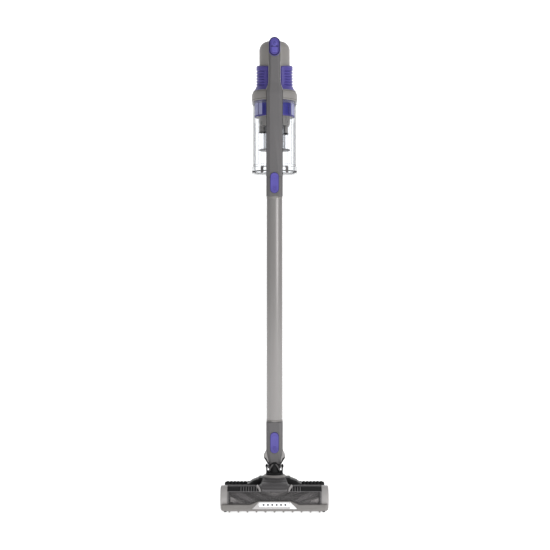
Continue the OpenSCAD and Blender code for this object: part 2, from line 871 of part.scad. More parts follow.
module vortex_tube() {
    top = collar_z + skirt - 41 - 22;
    tube_h = 60;
    color(clear) on_motor(top - tube_h) union() {
        ring(19, 17.4, tube_h);
        translate([0, 0, -2]) cylinder(r = 40, h = 2, $fn = 96);
    }
}

module inlet_duct() {
    half = spine_w / 2;
    reach = motor_back - cup_r - half + 20;
    color(grey_dark) difference() {
        on_vac() block(-12, half - 4, 122, 24, reach, 24);
        on_vac() block(-10, 0, 124, 20, half + reach, 20);
        on_motor(100) cylinder(r = cup_r + gap, h = 60, $fn = 128);
    }
}

// ---- Dust cup ----

rim_h = 14;
rim_r = cup_r + 3;
door_t = 5.5;

module dust_cup() {
    pivot_y = rim_r - 1.5;
    color(clear) on_motor() difference() {
        union() {
            translate([0, 0, cup_bottom]) ring(cup_r, cup_r - cup_wall, cup_h);
            translate([0, 0, cup_bottom]) ring(rim_r, cup_r - cup_wall, rim_h);
            mirrored_x() block(9.4, pivot_y - 6.5, cup_bottom - 6, 3.6, 9.5, 8);
        }
        translate([-20, pivot_y, cup_bottom - 3.2]) rotate([0, 90, 0]) cylinder(r = 1.3, h = 40, $fn = 48);
        block(-9.6, -70, 124 - 1.6, 19.2, 30, 23.2);
    }
}

module cup_button() {
    color(grey_dark) on_motor() block(-9, collar_r - 2.4, collar_z + 4, 18, 4.2, 10);
}

module cup_door() {
    pivot_y = rim_r - 1.5;
    color(clear) on_motor() difference() {
        union() {
            translate([0, 0, cup_bottom - door_t - 0.5]) cylinder(r = rim_r - 1, h = door_t, $fn = 128);
            translate([0, 0, cup_bottom - 0.5]) ring(54.6, 53.4, 0.5);
            translate([-9, pivot_y, cup_bottom - 3.2]) rotate([0, 90, 0]) cylinder(r = 3, h = 18, $fn = 64);
        }
        translate([-20, pivot_y, cup_bottom - 3.2]) rotate([0, 90, 0]) cylinder(r = 1.4, h = 40, $fn = 48);
        translate([0, 0, cup_bottom - door_t + 1.6]) cylinder(r = 51, h = 6, $fn = 128);
        mirrored_x() block(9.1, pivot_y - 7.6, cup_bottom - 8, 4.3, 12.7, 12);
    }
}

module door_pin() {
    color(metal) on_motor(cup_bottom - 3.2) translate([-13, rim_r - 1.5, 0])
        rotate([0, 90, 0]) cylinder(r = 1.3, h = 26, $fn = 48);
}

module door_latch() {
    bar_y = -rim_r - 1.8;
    color(grey_dark) on_motor() difference() {
        union() {
            translate([-33, bar_y, 30]) rotate([0, 90, 0]) cylinder(r = 1.2, h = 66, $fn = 48);
            mirrored_x() block(27, bar_y - 1.2, 14.5, 8, 20, 16.5);
        }
        cylinder(r = rim_r + gap, h = 60, $fn = 128);
    }
}

// ---- Battery ----

module battery_pack() {
    front = motor_r + 5.1;
    half = battery_w / 2;
    rear_wall = 6.5;
    height = vac_top - 48.2 - dome_z - 0.2;
    color(grey_dark) on_motor(dome_z + 0.2) difference() {
        linear_extrude(height) polygon([[-half, front], [half, front], [half, battery_back - 7],
            [half - 7, battery_back], [7 - half, battery_back], [-half, battery_back - 7]]);
        block(2 - half, front + 2, 2, battery_w - 4, battery_back - rear_wall - front - 2, height - 4);
        translate([0, battery_back - rear_wall - cut, 9]) rotate([-90, 0, 0])
            cylinder(r = 2.75, h = rear_wall + 2 * cut, $fn = 64);
        block(-8 - gap, battery_back - 4.5, height - 16 - gap, 16 + 2 * gap, 8, 10 + 2 * gap);
    }
}

module battery_cells() {
    cell_r = 9;
    cell_h = 65;
    color([0.2, 0.5, 0.3]) on_motor(dome_z + 2.2) for (i = [-1 : 1])
        translate([i * 19, motor_r + 7.3 + cell_r, 0]) cylinder(r = cell_r, h = cell_h, $fn = 96);
}

module battery_latch() {
    height = vac_top - 48.2 - dome_z - 0.2;
    color(purple) on_motor(dome_z + 0.2 + height - 16) block(-8, battery_back - 2.3, 0, 16, 2.3, 10);
}

// ---- Parts ----

sole_plate();
head_shell();
brush_window();
center_cover();
end_cap_left();
end_cap_right();
front_bumper();
headlight_bezel();
headlight_lens();
sole_strip();
suction_duct();
brush_motor();
motor_pulley();
drive_belt();
brush_core();
brush_bristles();
brush_bearings();
wheel_left();
wheel_right();
roller_left();
roller_right();
wheel_axles();
head_screws();
neck_base();
swivel_yoke();
yoke_pins();
neck_hose();
neck_collar();
neck_plug();
neck_button();
wand_tube();
wand_conduit();
wand_collar();
wand_plug();
wand_button();
spine_shell();
grip_pad();
button_plate();
power_button();
boost_button();
motor_housing();
grip_left();
grip_right();
motor_can();
impeller();
control_board();
exhaust_filter();
motor_filter();
mesh_shroud();
cyclone_cone();
vortex_tube();
inlet_duct();
dust_cup();
cup_button();
cup_door();
door_pin();
door_latch();
battery_pack();
battery_cells();
battery_latch();
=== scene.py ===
"""Visual model of an upright cordless stick vacuum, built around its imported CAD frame.

Shapes are drawn in millimetres and scaled to metres as their meshes are made: +Z is up, the front faces -Y.
"""

import math
import random

import bmesh
import bpy
from mathutils import Matrix, Vector


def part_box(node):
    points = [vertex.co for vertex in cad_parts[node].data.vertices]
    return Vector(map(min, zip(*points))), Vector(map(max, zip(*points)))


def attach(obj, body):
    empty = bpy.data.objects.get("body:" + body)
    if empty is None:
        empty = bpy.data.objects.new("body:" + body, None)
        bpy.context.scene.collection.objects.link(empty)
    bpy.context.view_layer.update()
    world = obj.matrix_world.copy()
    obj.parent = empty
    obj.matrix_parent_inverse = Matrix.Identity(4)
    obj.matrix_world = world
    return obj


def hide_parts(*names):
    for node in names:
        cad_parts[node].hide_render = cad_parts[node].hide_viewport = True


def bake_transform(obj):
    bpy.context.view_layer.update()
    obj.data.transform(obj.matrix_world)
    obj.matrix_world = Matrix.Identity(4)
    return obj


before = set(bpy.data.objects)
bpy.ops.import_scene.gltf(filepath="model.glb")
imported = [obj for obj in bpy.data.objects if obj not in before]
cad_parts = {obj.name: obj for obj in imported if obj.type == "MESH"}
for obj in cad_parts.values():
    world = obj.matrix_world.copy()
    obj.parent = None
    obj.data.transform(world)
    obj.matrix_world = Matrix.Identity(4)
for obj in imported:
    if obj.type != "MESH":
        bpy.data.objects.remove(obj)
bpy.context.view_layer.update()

MM = 0.001
SHARP_ANGLE = 35
FLAT_SHARE = 0.57
SIDES = ((-1, "left"), (1, "right"))


def span(node):
    """Lowest and highest corners of a CAD node in millimetres."""
    low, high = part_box(node)
    return low / MM, high / MM


def middle(node):
    low, high = span(node)
    return (low + high) / 2


# Places taken from the frame
tube_low, tube_high = span("wand_tube")
axis_y = middle("wand_tube").y
motor_y = middle("motor_can").y
joint_z = span("spine_shell")[0].z
vac_top = span("spine_shell")[1].z
dome_top = span("motor_housing")[1].z
cup_top = span("dust_cup")[1].z
roll = middle("brush_core")
head_half = span("end_cap_right")[1].x
head_front = span("front_bumper")[0].y
pivot = middle("yoke_pins")
deck_rear = span("head_shell")[1].y

random.seed(7)


# ---- Meshes ----


def make_object(name, verts, faces, material, smooth_angle=SHARP_ANGLE):
    mesh = bpy.data.meshes.new(name)
    mesh.from_pydata([Vector(v) * MM for v in verts], [], faces)
    mesh.validate()
    tidy = bmesh.new()
    tidy.from_mesh(mesh)
    bmesh.ops.remove_doubles(tidy, verts=tidy.verts, dist=1e-6)
    bmesh.ops.recalc_face_normals(tidy, faces=tidy.faces)
    tidy.to_mesh(mesh)
    tidy.free()
    mesh.shade_smooth()
    if smooth_angle:
        mesh.set_sharp_from_angle(angle=math.radians(smooth_angle))
    piece = bpy.data.objects.new(name, mesh)
    bpy.context.scene.collection.objects.link(piece)
    if material:
        mesh.materials.append(material)
    return piece


def loft(rings, caps=True, closed=True):
    """Joins rings of equal length with quads; the last ring joins the first where closed is "loop"."""
    count = len(rings[0])
    verts = [point for ring in rings for point in ring]
    faces = []
    turns = len(rings) if closed == "loop" else len(rings) - 1
    reach = count if closed else count - 1
    for i in range(turns):
        a, b = i * count, ((i + 1) % len(rings)) * count
        for j in range(reach):
            k = (j + 1) % count
            faces.append((a + j, a + k, b + k, b + j))
    if caps and closed != "loop":
        faces.append(tuple(reversed(range(count))))
        faces.append(tuple(range(len(verts) - count, len(verts))))
    return verts, faces


def lathe(profile, centre=(0, 0), steps=96, start=0, sweep=360, hollow=False):
    """Turns (radius, height) points about the upright line through centre.

    hollow closes the profile into a loop, so that it is the section of a wall."""
    whole = sweep == 360
    count = steps if whole else steps + 1
    rings = []
    for radius, height in profile:
        ring = []
        for i in range(count):
            angle = math.radians(start + sweep * i / steps)
            ring.append((centre[0] + radius * math.cos(angle), centre[1] + radius * math.sin(angle), height))
        rings.append(ring)
    verts = [point for ring in rings for point in ring]
    faces = []
    bands = len(rings) if hollow else len(rings) - 1
    for i in range(bands):
        a, b = i * count, ((i + 1) % len(rings)) * count
        for j in range(count if whole else count - 1):
            k = (j + 1) % count
            faces.append((a + j, a + k, b + k, b + j))
    if not hollow:
        for i, ring in ((0, rings[0]), (len(rings) - 1, rings[-1])):
            if profile[i][0] > 1e-6 and whole:
                faces.append(tuple(range(i * count, (i + 1) * count)))
    elif not whole:
        faces.append(tuple(i * count for i in range(len(rings))))
        faces.append(tuple(i * count + count - 1 for i in range(len(rings))))
    return verts, faces


def turned(shape, axis, at):
    """Lays a shape drawn about +Z along X or Y, with its origin moved to a point."""
    verts, faces = shape
    if axis == "x":
        verts = [(z, x, y) for x, y, z in verts]
    if axis == "y":
        verts = [(x, z, -y) for x, y, z in verts]
    return [(x + at[0], y + at[1], z + at[2]) for x, y, z in verts], faces


def round_motor(shape, angle):
    """Turns a shape drawn at the origin about +Z and carries it to the motor axis."""
    verts, faces = shape
    turn = Matrix.Rotation(math.radians(angle), 3, "Z")
    return [tuple(turn @ Vector(v) + Vector((0, motor_y, 0))) for v in verts], faces


def merged(*shapes):
    verts, faces = [], []
    for more_verts, more_faces in shapes:
        base = len(verts)
        verts += list(more_verts)
        faces += [tuple(base + i for i in face) for face in more_faces]
    return verts, faces


def slab(low, high):
    x0, y0, z0 = low
    x1, y1, z1 = high
    ring = [(x0, y0), (x1, y0), (x1, y1), (x0, y1)]
    return loft([[(x, y, z) for x, y in ring] for z in (z0, z1)])


def prism(outline, axis, low, high):
    """Pushes a flat outline along an axis: (y, z) points along x, (x, z) along y, (x, y) along z."""
    place = {
        "x": lambda p, q, r: (r, p, q),
        "y": lambda p, q, r: (p, r, q),
        "z": lambda p, q, r: (p, q, r),
    }[axis]
    return loft([[place(p, q, level) for p, q in outline] for level in (low, high)])


def arc(centre, radius, start, end, steps=16):
    points = []
    for i in range(steps + 1):
        angle = math.radians(start + (end - start) * i / steps)
        points.append((centre[0] + radius * math.cos(angle), centre[1] + radius * math.sin(angle)))
    return points


def stadium(width, low, high, steps=16, middle_x=0):
    """Upright outline with round ends, as (x, z) points."""
    r = width / 2
    return arc((middle_x, high - r), r, 0, 180, steps) + arc((middle_x, low + r), r, 180, 360, steps)


def rounded_rect(half_x, half_y, radius, centre=(0, 0), steps=6):
    cx, cy = centre
    points = []
    for sx, sy, start in ((1, 1, 0), (-1, 1, 90), (-1, -1, 180), (1, -1, 270)):
        corner = (cx + sx * (half_x - radius), cy + sy * (half_y - radius))
        points += arc(corner, radius, start, start + 90, steps)
    return points


def ease(t):
    t = min(max(t, 0), 1)
    return t * t * (3 - 2 * t)


def bevelled(piece, width, segments=3, angle=30):
    rounding = piece.modifiers.new("rounding", "BEVEL")
    rounding.width = width * MM
    rounding.segments = segments
    rounding.limit_method = "ANGLE"
    rounding.angle_limit = math.radians(angle)
    rounding.harden_normals = True
    rounding.use_clamp_overlap = True
    return piece


def settled(piece):
    """Applies a piece's modifiers to its mesh."""
    bpy.context.view_layer.update()
    state = bpy.context.evaluated_depsgraph_get()
    mesh = bpy.data.meshes.new_from_object(
        piece.evaluated_get(state), preserve_all_data_layers=True, depsgraph=state
    )
    piece.modifiers.clear()
    piece.data = mesh
    return piece


def cut(piece, shape):
    """Takes a shape out of a piece."""
    tool = make_object("cutter", *shape, None, smooth_angle=0)
    carve = piece.modifiers.new("carve", "BOOLEAN")
    carve.operation = "DIFFERENCE"
    carve.solver = "EXACT"
    carve.object = tool
    settled(piece)
    bpy.data.objects.remove(tool)
    piece.data.shade_smooth()
    piece.data.set_sharp_from_angle(angle=math.radians(SHARP_ANGLE))
    return piece


def shade_flanks(piece, shade_material, limit=0.78):
    """Gives the faces that look sideways a second, darker material: painted shade on the flanks."""
    settled(piece)
    piece.data.materials.append(shade_material)
    for face in piece.data.polygons:
        if abs(face.normal.x) > limit:
            face.material_index = len(piece.data.materials) - 1
    return piece


def fit(piece, body, slot, *replaced):
    """Puts a piece on a body and hides the CAD nodes that it stands for; slot is not used."""
    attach(piece, body)
    if replaced:
        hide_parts(*replaced)
    return piece


def add(name, shape, material, body, slot, *replaced, angle=SHARP_ANGLE, bevel=0, segments=3):
    """Makes a piece from a shape, rounds its edges where bevel is given, and puts it on its body."""
    piece = make_object(name, *shape, material, angle)
    if bevel:
        bevelled(piece, bevel, segments)
    return fit(piece, body, slot, *replaced)


# ---- Shader helpers ----


class Socket:
    """A shader socket that takes part in Python arithmetic."""

    def __init__(self, paint, source):
        self.paint = paint
        self.source = source

    def _math(self, operation, first, second):
        made = self.paint.node("ShaderNodeMath", {"operation": operation}, {0: first, 1: second})
        return Socket(self.paint, made.outputs[0])

    def __add__(self, other):
        return self._math("ADD", self, other)

    __radd__ = __add__

    def __sub__(self, other):
        return self._math("SUBTRACT", self, other)

    def __rsub__(self, other):
        return self._math("SUBTRACT", other, self)

    def __mul__(self, other):
        return self._math("MULTIPLY", self, other)

    __rmul__ = __mul__

    def __pow__(self, other):
        return self._math("POWER", self, other)

    def fraction(self):
        return self._math("FRACT", self, 0.0)

    def clamped(self):
        made = self.paint.node("ShaderNodeClamp", {}, {"Value": self})
        return Socket(self.paint, made.outputs[0])


class Paint:
    """A new material with one Principled shader, and short ways to add nodes to it."""

    def __init__(self, name, **constants):
        self.material = bpy.data.materials.new(name)
        self.material.use_nodes = True
        self.tree = self.material.node_tree
        self.surface = self.tree.nodes["Principled BSDF"]
        self.output = self.tree.nodes["Material Output"]
        for socket, value in constants.items():
            self.surface.inputs[socket.replace("_", " ")].default_value = value

    def node(self, kind, settings, inputs):
        made = self.tree.nodes.new(kind)
        for setting, value in settings.items():
            setattr(made, setting, value)
        for socket, value in inputs.items():
            self.connect(made.inputs[socket], value)
        return made

    def connect(self, target, value):
        if isinstance(value, Socket):
            self.tree.links.new(value.source, target)
        elif isinstance(value, bpy.types.NodeSocket):
            self.tree.links.new(value, target)
        else:
            target.default_value = value

    def feed(self, socket, value):
        self.connect(self.surface.inputs[socket], value)

    def place(self):
        return self.node("ShaderNodeTexCoord", {}, {}).outputs["Object"]

    def axis(self, letter):
        split = self.node("ShaderNodeSeparateXYZ", {}, {0: self.place()})
        return Socket(self, split.outputs[letter])

    def noise(self, scale, detail=3, rough=0.5, stretch=None):
        where = self.place()
        if stretch:
            where = self.node("ShaderNodeMapping", {}, {"Vector": where, "Scale": stretch}).outputs[0]
        made = self.node(
            "ShaderNodeTexNoise", {}, {"Vector": where, "Scale": scale, "Detail": detail, "Roughness": rough}
        )
        return Socket(self, made.outputs[0])

    def mixed(self, factor, first, second):
        made = self.node("ShaderNodeMix", {"data_type": "RGBA"}, {0: factor, 6: first, 7: second})
        return made.outputs[2]

    def bump(self, height, strength, depth):
        inputs = {"Height": height, "Strength": strength, "Distance": depth}
        return self.node("ShaderNodeBump", {}, inputs).outputs[0]

    def glance(self):
        """How far a surface turns away from the eye, from 0 to 1."""
        return Socket(self, self.node("ShaderNodeLayerWeight", {}, {"Blend": 0.5}).outputs["Facing"])

    def edges(self):
        """How much a point stands out at a worn edge, from 0 to 1."""
        point = self.node("ShaderNodeNewGeometry", {}, {}).outputs["Pointiness"]
        return Socket(self, point)


def shade(colour, factor):
    return tuple(min(channel * factor, 1) for channel in colour[:3]) + (1,)


# ---- Materials ----


def moulded(name, colour, roughness=0.42, grain=900, grain_depth=0.00004, coat=0.0, mottle=0.06, painted_glint=0.4):
    """Moulded plastic: faint cloudiness, fine grain, lighter rubbed edges."""
    paint = Paint(name, Coat_Weight=coat, Coat_Roughness=0.15, Specular_IOR_Level=painted_glint)
    cloud = paint.noise(14, 4)
    speckle = paint.noise(grain, 2)
    tone = paint.mixed(cloud, shade(colour, 1 - mottle), shade(colour, 1 + mottle))
    worn = ((paint.edges() - 0.52) * 9).clamped() * paint.noise(60, 4)
    paint.feed("Base Color", paint.mixed(worn * 0.6, tone, shade(colour, 1.7)))
    paint.feed("Roughness", roughness - 0.05 + cloud * 0.1 + speckle * 0.06 - worn * 0.08)
    paint.feed("Normal", paint.bump(speckle, 0.35, grain_depth))
    return paint.material


def painted_tube(name, colour):
    """Satin metallic paint over a drawn tube: long faint streaks and fine flake."""
    paint = Paint(name, Metallic=0.35, Coat_Weight=0.25, Coat_Roughness=0.2)
    flake = paint.noise(2600, 1)
    streak = paint.noise(90, 3, stretch=(1, 1, 0.03))
    scuff = (paint.noise(35, 6, 0.7) - 0.62).clamped() * 4
    tone = paint.mixed(streak, shade(colour, 0.93), shade(colour, 1.07))
    paint.feed("Base Color", paint.mixed(flake * 0.25, tone, shade(colour, 1.35)))
    paint.feed("Roughness", 0.36 + streak * 0.06 + scuff.clamped() * 0.12)
    paint.feed("Normal", paint.bump(flake + streak * 2, 0.2, 0.00003))
    return paint.material


def clear_plastic(name, tint, film, haze=0.03, rim=2.2, dust=0.04, ior=1.49):
    """Clear moulded plastic: see-through face on, more solid at a glancing angle."""
    paint = Paint(name, Specular_IOR_Level=0.6, IOR=ior)
    cloud = paint.noise(22, 5)
    smear = (paint.noise(70, 6, 0.7) - 0.5).clamped() * 2
    paint.feed("Base Color", paint.mixed(cloud, shade(film, 0.92), shade(film, 1.08)))
    paint.feed("Roughness", haze + cloud * 0.03 + smear * 0.1)
    paint.feed("Normal", paint.bump(cloud, 0.05, 0.00005))
    see = paint.node("ShaderNodeBsdfTransparent", {}, {"Color": tint + (1,)})
    solid = (paint.glance() ** rim * 0.75 + dust + smear * 0.03).clamped()
    mix = paint.node(
        "ShaderNodeMixShader", {}, {0: solid, 1: see.outputs[0], 2: paint.surface.outputs[0]}
    )
    paint.tree.links.new(mix.outputs[0], paint.output.inputs["Surface"])
    return paint.material


def rubbery(name, colour, roughness=0.62):
    paint = Paint(name, Specular_IOR_Level=0.35)
    cloud = paint.noise(40, 5)
    paint.feed("Base Color", paint.mixed(cloud, shade(colour, 0.8), shade(colour, 1.3)))
    paint.feed("Roughness", roughness + cloud * 0.15)
    paint.feed("Normal", paint.bump(paint.noise(700, 3), 0.4, 0.00008))
    return paint.material


def machined(name, colour, roughness=0.3):
    paint = Paint(name, Metallic=1.0)
    turn = paint.noise(400, 2, stretch=(0.1, 1, 1))
    paint.feed("Base Color", paint.mixed(turn, shade(colour, 0.85), shade(colour, 1.1)))
    paint.feed("Roughness", roughness + turn * 0.15)
    paint.feed("Normal", paint.bump(turn, 0.2, 0.00005))
    return paint.material


def fibrous(name, colour, scale=500, depth=0.0006):
    paint = Paint(name, Roughness=0.9, Sheen_Weight=0.3)
    strand = paint.noise(scale, 4, 0.7)
    paint.feed("Base Color", paint.mixed(strand, shade(colour, 0.45), shade(colour, 1.5)))
    paint.feed("Normal", paint.bump(strand, 0.7, depth))
    return paint.material


def lens_glow(name, colour):
    """Milky lens lit faintly from behind, with fine upright ribs."""
    paint = Paint(name, Emission_Strength=0.35, Coat_Weight=0.6)
    rib = (paint.axis("X") * 700).fraction()
    haze = paint.noise(200, 3)
    paint.feed("Base Color", paint.mixed(haze, shade(colour, 0.94), shade(colour, 1.0)))
    paint.feed("Emission Color", paint.mixed(haze, shade(colour, 0.9), shade(colour, 1.0)))
    paint.feed("Roughness", 0.18 + haze * 0.1)
    paint.feed("Normal", paint.bump(rib, 0.15, 0.0001))
    return paint.material


def woven_mesh(name, colour):
    """Fine metal gauze: darker round holes in a staggered grid."""
    paint = Paint(name, Metallic=0.0)
    where = paint.node(
        "ShaderNodeTexVoronoi", {"feature": "DISTANCE_TO_EDGE"}, {"Scale": 520.0, "Randomness": 0.15}
    )
    paint.tree.links.new(paint.place(), where.inputs["Vector"])
    wire = 1 - (Socket(paint, where.outputs["Distance"]) * 5).clamped()
    cloud = paint.noise(30, 4)
    paint.feed("Base Color", paint.mixed(wire * 0.7 + cloud * 0.3, shade(colour, 0.6), shade(colour, 1.3)))
    paint.feed("Roughness", 0.35 + cloud * 0.15)
    paint.feed("Normal", paint.bump(wire, 0.5, 0.0003))
    return paint.material


GREY_DARK = (0.140, 0.135, 0.138)
GREY_WARM = (0.275, 0.262, 0.252)
GREY_LIGHT = (0.40, 0.385, 0.38)
BLACK = (0.022, 0.022, 0.023)
PURPLE = (0.085, 0.068, 0.31)

spine_grey = moulded("spine_grey", GREY_DARK, 0.42)
# Near-black for the sideways faces: painted shade standing in for the dark rounded flanks.
painted_flank_shade = moulded("painted_flank_shade", shade(GREY_DARK, 0.17), 0.55, painted_glint=0.12)
cover_grey = moulded("cover_grey", shade(GREY_DARK, 0.62), 0.42, painted_glint=0.3)
collar_grey = moulded("collar_grey", shade(GREY_DARK, 1.05), 0.4)
housing_grey = moulded("housing_grey", GREY_WARM, 0.4)
cap_grey = moulded("cap_grey", GREY_LIGHT, 0.36)
bumper_grey = moulded("bumper_grey", shade(GREY_WARM, 0.92), 0.4)
deck_black = moulded("deck_black", shade(BLACK, 0.6), 0.45, mottle=0.15, painted_glint=0.22)
yoke_black = moulded("yoke_black", shade(BLACK, 0.7), 0.45, mottle=0.12, painted_glint=0.22)
grip_purple = moulded("grip_purple", PURPLE, 0.4, mottle=0.1)
key_purple = moulded("key_purple", (0.115, 0.098, 0.41), 0.34, grain_depth=0.00002, coat=0.1, mottle=0.05)
# Very dark purple: painted shade over the rounded rims of the purple buttons, and the printed power mark.
print_and_rim_shade_purple = moulded("print_and_rim_shade_purple", shade(PURPLE, 0.16), 0.4, mottle=0.05)
silver = moulded("silver_trim", (0.62, 0.60, 0.60), 0.28, coat=0.3)
duct_grey = moulded("duct_grey", GREY_WARM, 0.5)
tube_paint = painted_tube("tube_paint", (0.30, 0.288, 0.283))
strut_grey = moulded("strut_grey", shade(GREY_DARK, 0.9), 0.45, painted_glint=0.3)
cup_clear = clear_plastic(
    "cup_clear", (0.97, 0.975, 0.98), (0.035, 0.035, 0.037), rim=3.8, dust=0.012, ior=1.12
)
core_clear = clear_plastic(
    "core_clear", (0.92, 0.925, 0.935), (0.16, 0.16, 0.17), haze=0.08, rim=3.0, dust=0.06, ior=1.15
)
rim_clear = clear_plastic(
    "rim_clear", (0.93, 0.93, 0.94), (0.42, 0.42, 0.44), haze=0.06, rim=2.4, dust=0.14, ior=1.25
)
rib_clear = clear_plastic(
    "rib_clear", (0.9, 0.9, 0.91), (0.30, 0.30, 0.31), haze=0.06, rim=2.0, dust=0.42, ior=1.2
)
window_smoke = clear_plastic(
    "window_smoke", (0.86, 0.85, 0.85), (0.30, 0.295, 0.295), haze=0.06, rim=2.6, dust=0.14, ior=1.3
)
rubber = rubbery("rubber_black", (0.028, 0.028, 0.029))
hose_black = rubbery("hose_black", (0.02, 0.02, 0.021), 0.5)
steel = machined("turned_steel", (0.60, 0.60, 0.62))
fan_metal = machined("fan_metal", (0.72, 0.73, 0.75), 0.22)
filter_foam = fibrous("filter_foam", (0.08, 0.08, 0.30))
pleat_paper = fibrous("pleat_paper", (0.78, 0.78, 0.72), 300, 0.0003)
board_green = moulded("board_green", (0.02, 0.12, 0.06), 0.3, mottle=0.2)
cell_wrap = moulded("cell_wrap", (0.03, 0.20, 0.08), 0.25, coat=0.4)
roll_grey = moulded("roll_grey", (0.16, 0.155, 0.16), 0.5, mottle=0.15)
tuft_pale = fibrous("tuft_pale", (0.62, 0.605, 0.605), 1200, 0.0004)
tuft_dark = fibrous("tuft_dark", (0.13, 0.125, 0.13), 1200, 0.0004)
tuft_purple = fibrous("tuft_purple", (0.24, 0.232, 0.24), 1200, 0.0004)
shroud_mesh = woven_mesh("shroud_mesh", (0.52, 0.52, 0.90))
# Darker purple for the front of the shroud: painted shade, so that the lighter gauze sides stand in for
# reflections there.
shroud_shade_purple = moulded("shroud_shade_purple", (0.035, 0.033, 0.24), 0.4, mottle=0.05)
lens_white = lens_glow("lens_white", (0.92, 0.93, 0.95))


# ---- Wand ----

button_width = 21.6


def tube_wall(outer, inner, low, high, lip=0.8):
    """Section of a tube wall with a rolled lip at each end."""
    return [
        (inner, low), (outer - lip, low), (outer - lip * 0.3, low + lip * 0.3), (outer, low + lip),
        (outer, high - lip), (outer - lip * 0.3, high - lip * 0.3), (outer - lip, high), (inner, high),
    ]


def wand():
    outer = (tube_high.x - tube_low.x) / 2
    inner = outer - 1.8
    centre = (0, axis_y)
    tube = make_object(
        "wand_tube_painted",
        *lathe(tube_wall(outer, inner, tube_low.z, tube_high.z), centre, 128, hollow=True), tube_paint
    )
    fit(tube, "wand", "tube_paint", "wand_tube")
    for name, low in (("wand_foot_band", tube_low.z + 1.2), ("wand_head_band", tube_high.z - 5.2)):
        band = tube_wall(outer + 0.18, outer - 0.3, low, low + 4, 0.15)
        add(name, lathe(band, centre, 128, hollow=True), bumper_grey, "wand", "mid_grey")


def face_section(half, front, back, flat, y0):
    """Ring of (x, y) points: flat front face, bevelled front corners, rounded back."""
    bevel_y = front + (back - front) * 0.22
    back_y = back - (back - front) * 0.16
    points = [(half * flat, front), (half * 0.94, bevel_y - 1.6), (half, bevel_y + 1.4), (half, back_y)]
    ring = [(x, y0 + y) for x, y in points]
    ring += [(half * 0.93, y0 + back - (back - back_y) * 0.35), (half * 0.7, y0 + back)]
    return ring + [(-x, y) for x, y in reversed(ring)]


def column(levels):
    """Loft of face sections: each level is (z, half width, front, back, flat share)."""
    rings = []
    for z, half, front, back, flat in levels:
        rings.append([(x, y, z) for x, y in face_section(half, front, back, flat, axis_y)])
    return loft(rings)


def release_button(name, body, low, high, front):
    """Thumb button: a domed plate with round ends, a scooped top and a raised thumb ring."""
    width = button_width
    rings = []
    for inset, depth in (
        (0.0, 2.6), (0.0, 0.9), (0.35, 0.35), (1.0, 0.05), (2.2, 0.0), (4.2, 0.18), (7.5, 0.34)
    ):
        outline = stadium(width - 2 * inset, low + inset, high - inset, 20)
        rings.append([(x, axis_y + front + depth, z) for x, z in outline])
    plate = loft(rings)
    ring_z = low + 11
    profile = [(6.9, 0.25), (6.7, -0.55), (6.2, -0.8), (5.7, -0.55), (5.5, 0.25)]
    ring = turned(lathe(profile, steps=48, hollow=True), "y", (0, axis_y + front + 0.2, ring_z))
    pad = turned(
        lathe([(4.6, 0.2), (4.4, -0.2), (0.0, -0.35)], steps=48), "y", (0, axis_y + front + 0.25, ring_z)
    )
    bars = [
        slab(
            (-5 + abs(i) * 1.2, axis_y + front - 0.25, high - 14 + i * 3.4),
            (5 - abs(i) * 1.2, axis_y + front + 0.6, high - 12.6 + i * 3.4)
        )
        for i in (-1, 0, 1)
    ]
    button = make_object(name + "_cap", *merged(plate, *bars), key_purple)
    fit(button, body, "purple", name)
    add(name + "_ring", merged(ring, pad), grip_purple, body, "purple")
    # Dark band over the button's rounded rim: painted shade.
    rim_shade_band = [
        [
            (x, axis_y + front + depth, z)
            for x, z in stadium(width - 2 * inset, low + inset, high - inset, 20)
        ]
        for inset, depth in ((1.1, 0.9), (0.02, 1.05), (0.28, 0.28), (1.0, -0.02))
    ]
    add(name + "_edge", loft(rim_shade_band, caps=False, closed="loop"), print_and_rim_shade_purple, body, "purple")


def wand_collar():
    low, high = span("wand_collar")
    half = high.x
    front, back = low.y - axis_y, high.y - axis_y
    levels = [
        (low.z, half - 0.5, front + 0.5, back - 0.5, FLAT_SHARE),
        (low.z + 0.6, half, front, back, FLAT_SHARE), (high.z - 0.9, half, front, back, FLAT_SHARE),
        (high.z - 0.35, half - 0.35, front + 0.4, back - 0.4, FLAT_SHARE),
    ]
    piece = make_object("wand_collar_shell", *column(levels), collar_grey, 28)
    button_low, button_high = span("wand_button")
    slot = prism(
        stadium(button_width + 0.6, button_low.z - 0.3, button_high.z + 20, 20), "y", axis_y + front - 1,
        axis_y + front + 3.1
    )
    cut(piece, slot)
    bore = lathe([(13.8, low.z - 1), (13.8, high.z + 1)], (0, axis_y), 64)
    cut(piece, bore)
    # Painted shade on the sideways faces.
    shade_flanks(bevelled(piece, 0.5), painted_flank_shade)
    fit(piece, "wand", "dark_grey", "wand_collar")
    release_button("wand_button", "wand_release", button_low.z, button_high.z, front - 2.05)


# ---- Hand vacuum: spine and grip bar ----

shoulder_z = joint_z + 203
bar_z = joint_z + 231
bar_front_y, bar_back_y = axis_y - 16, axis_y + 13
dome_radius, dome_foot_z = 38.5, joint_z + 220
grip_foot_z, grip_tall = joint_z + 221, 68
grip_top_z = grip_foot_z + grip_tall
plate_low, plate_high = span("button_plate")


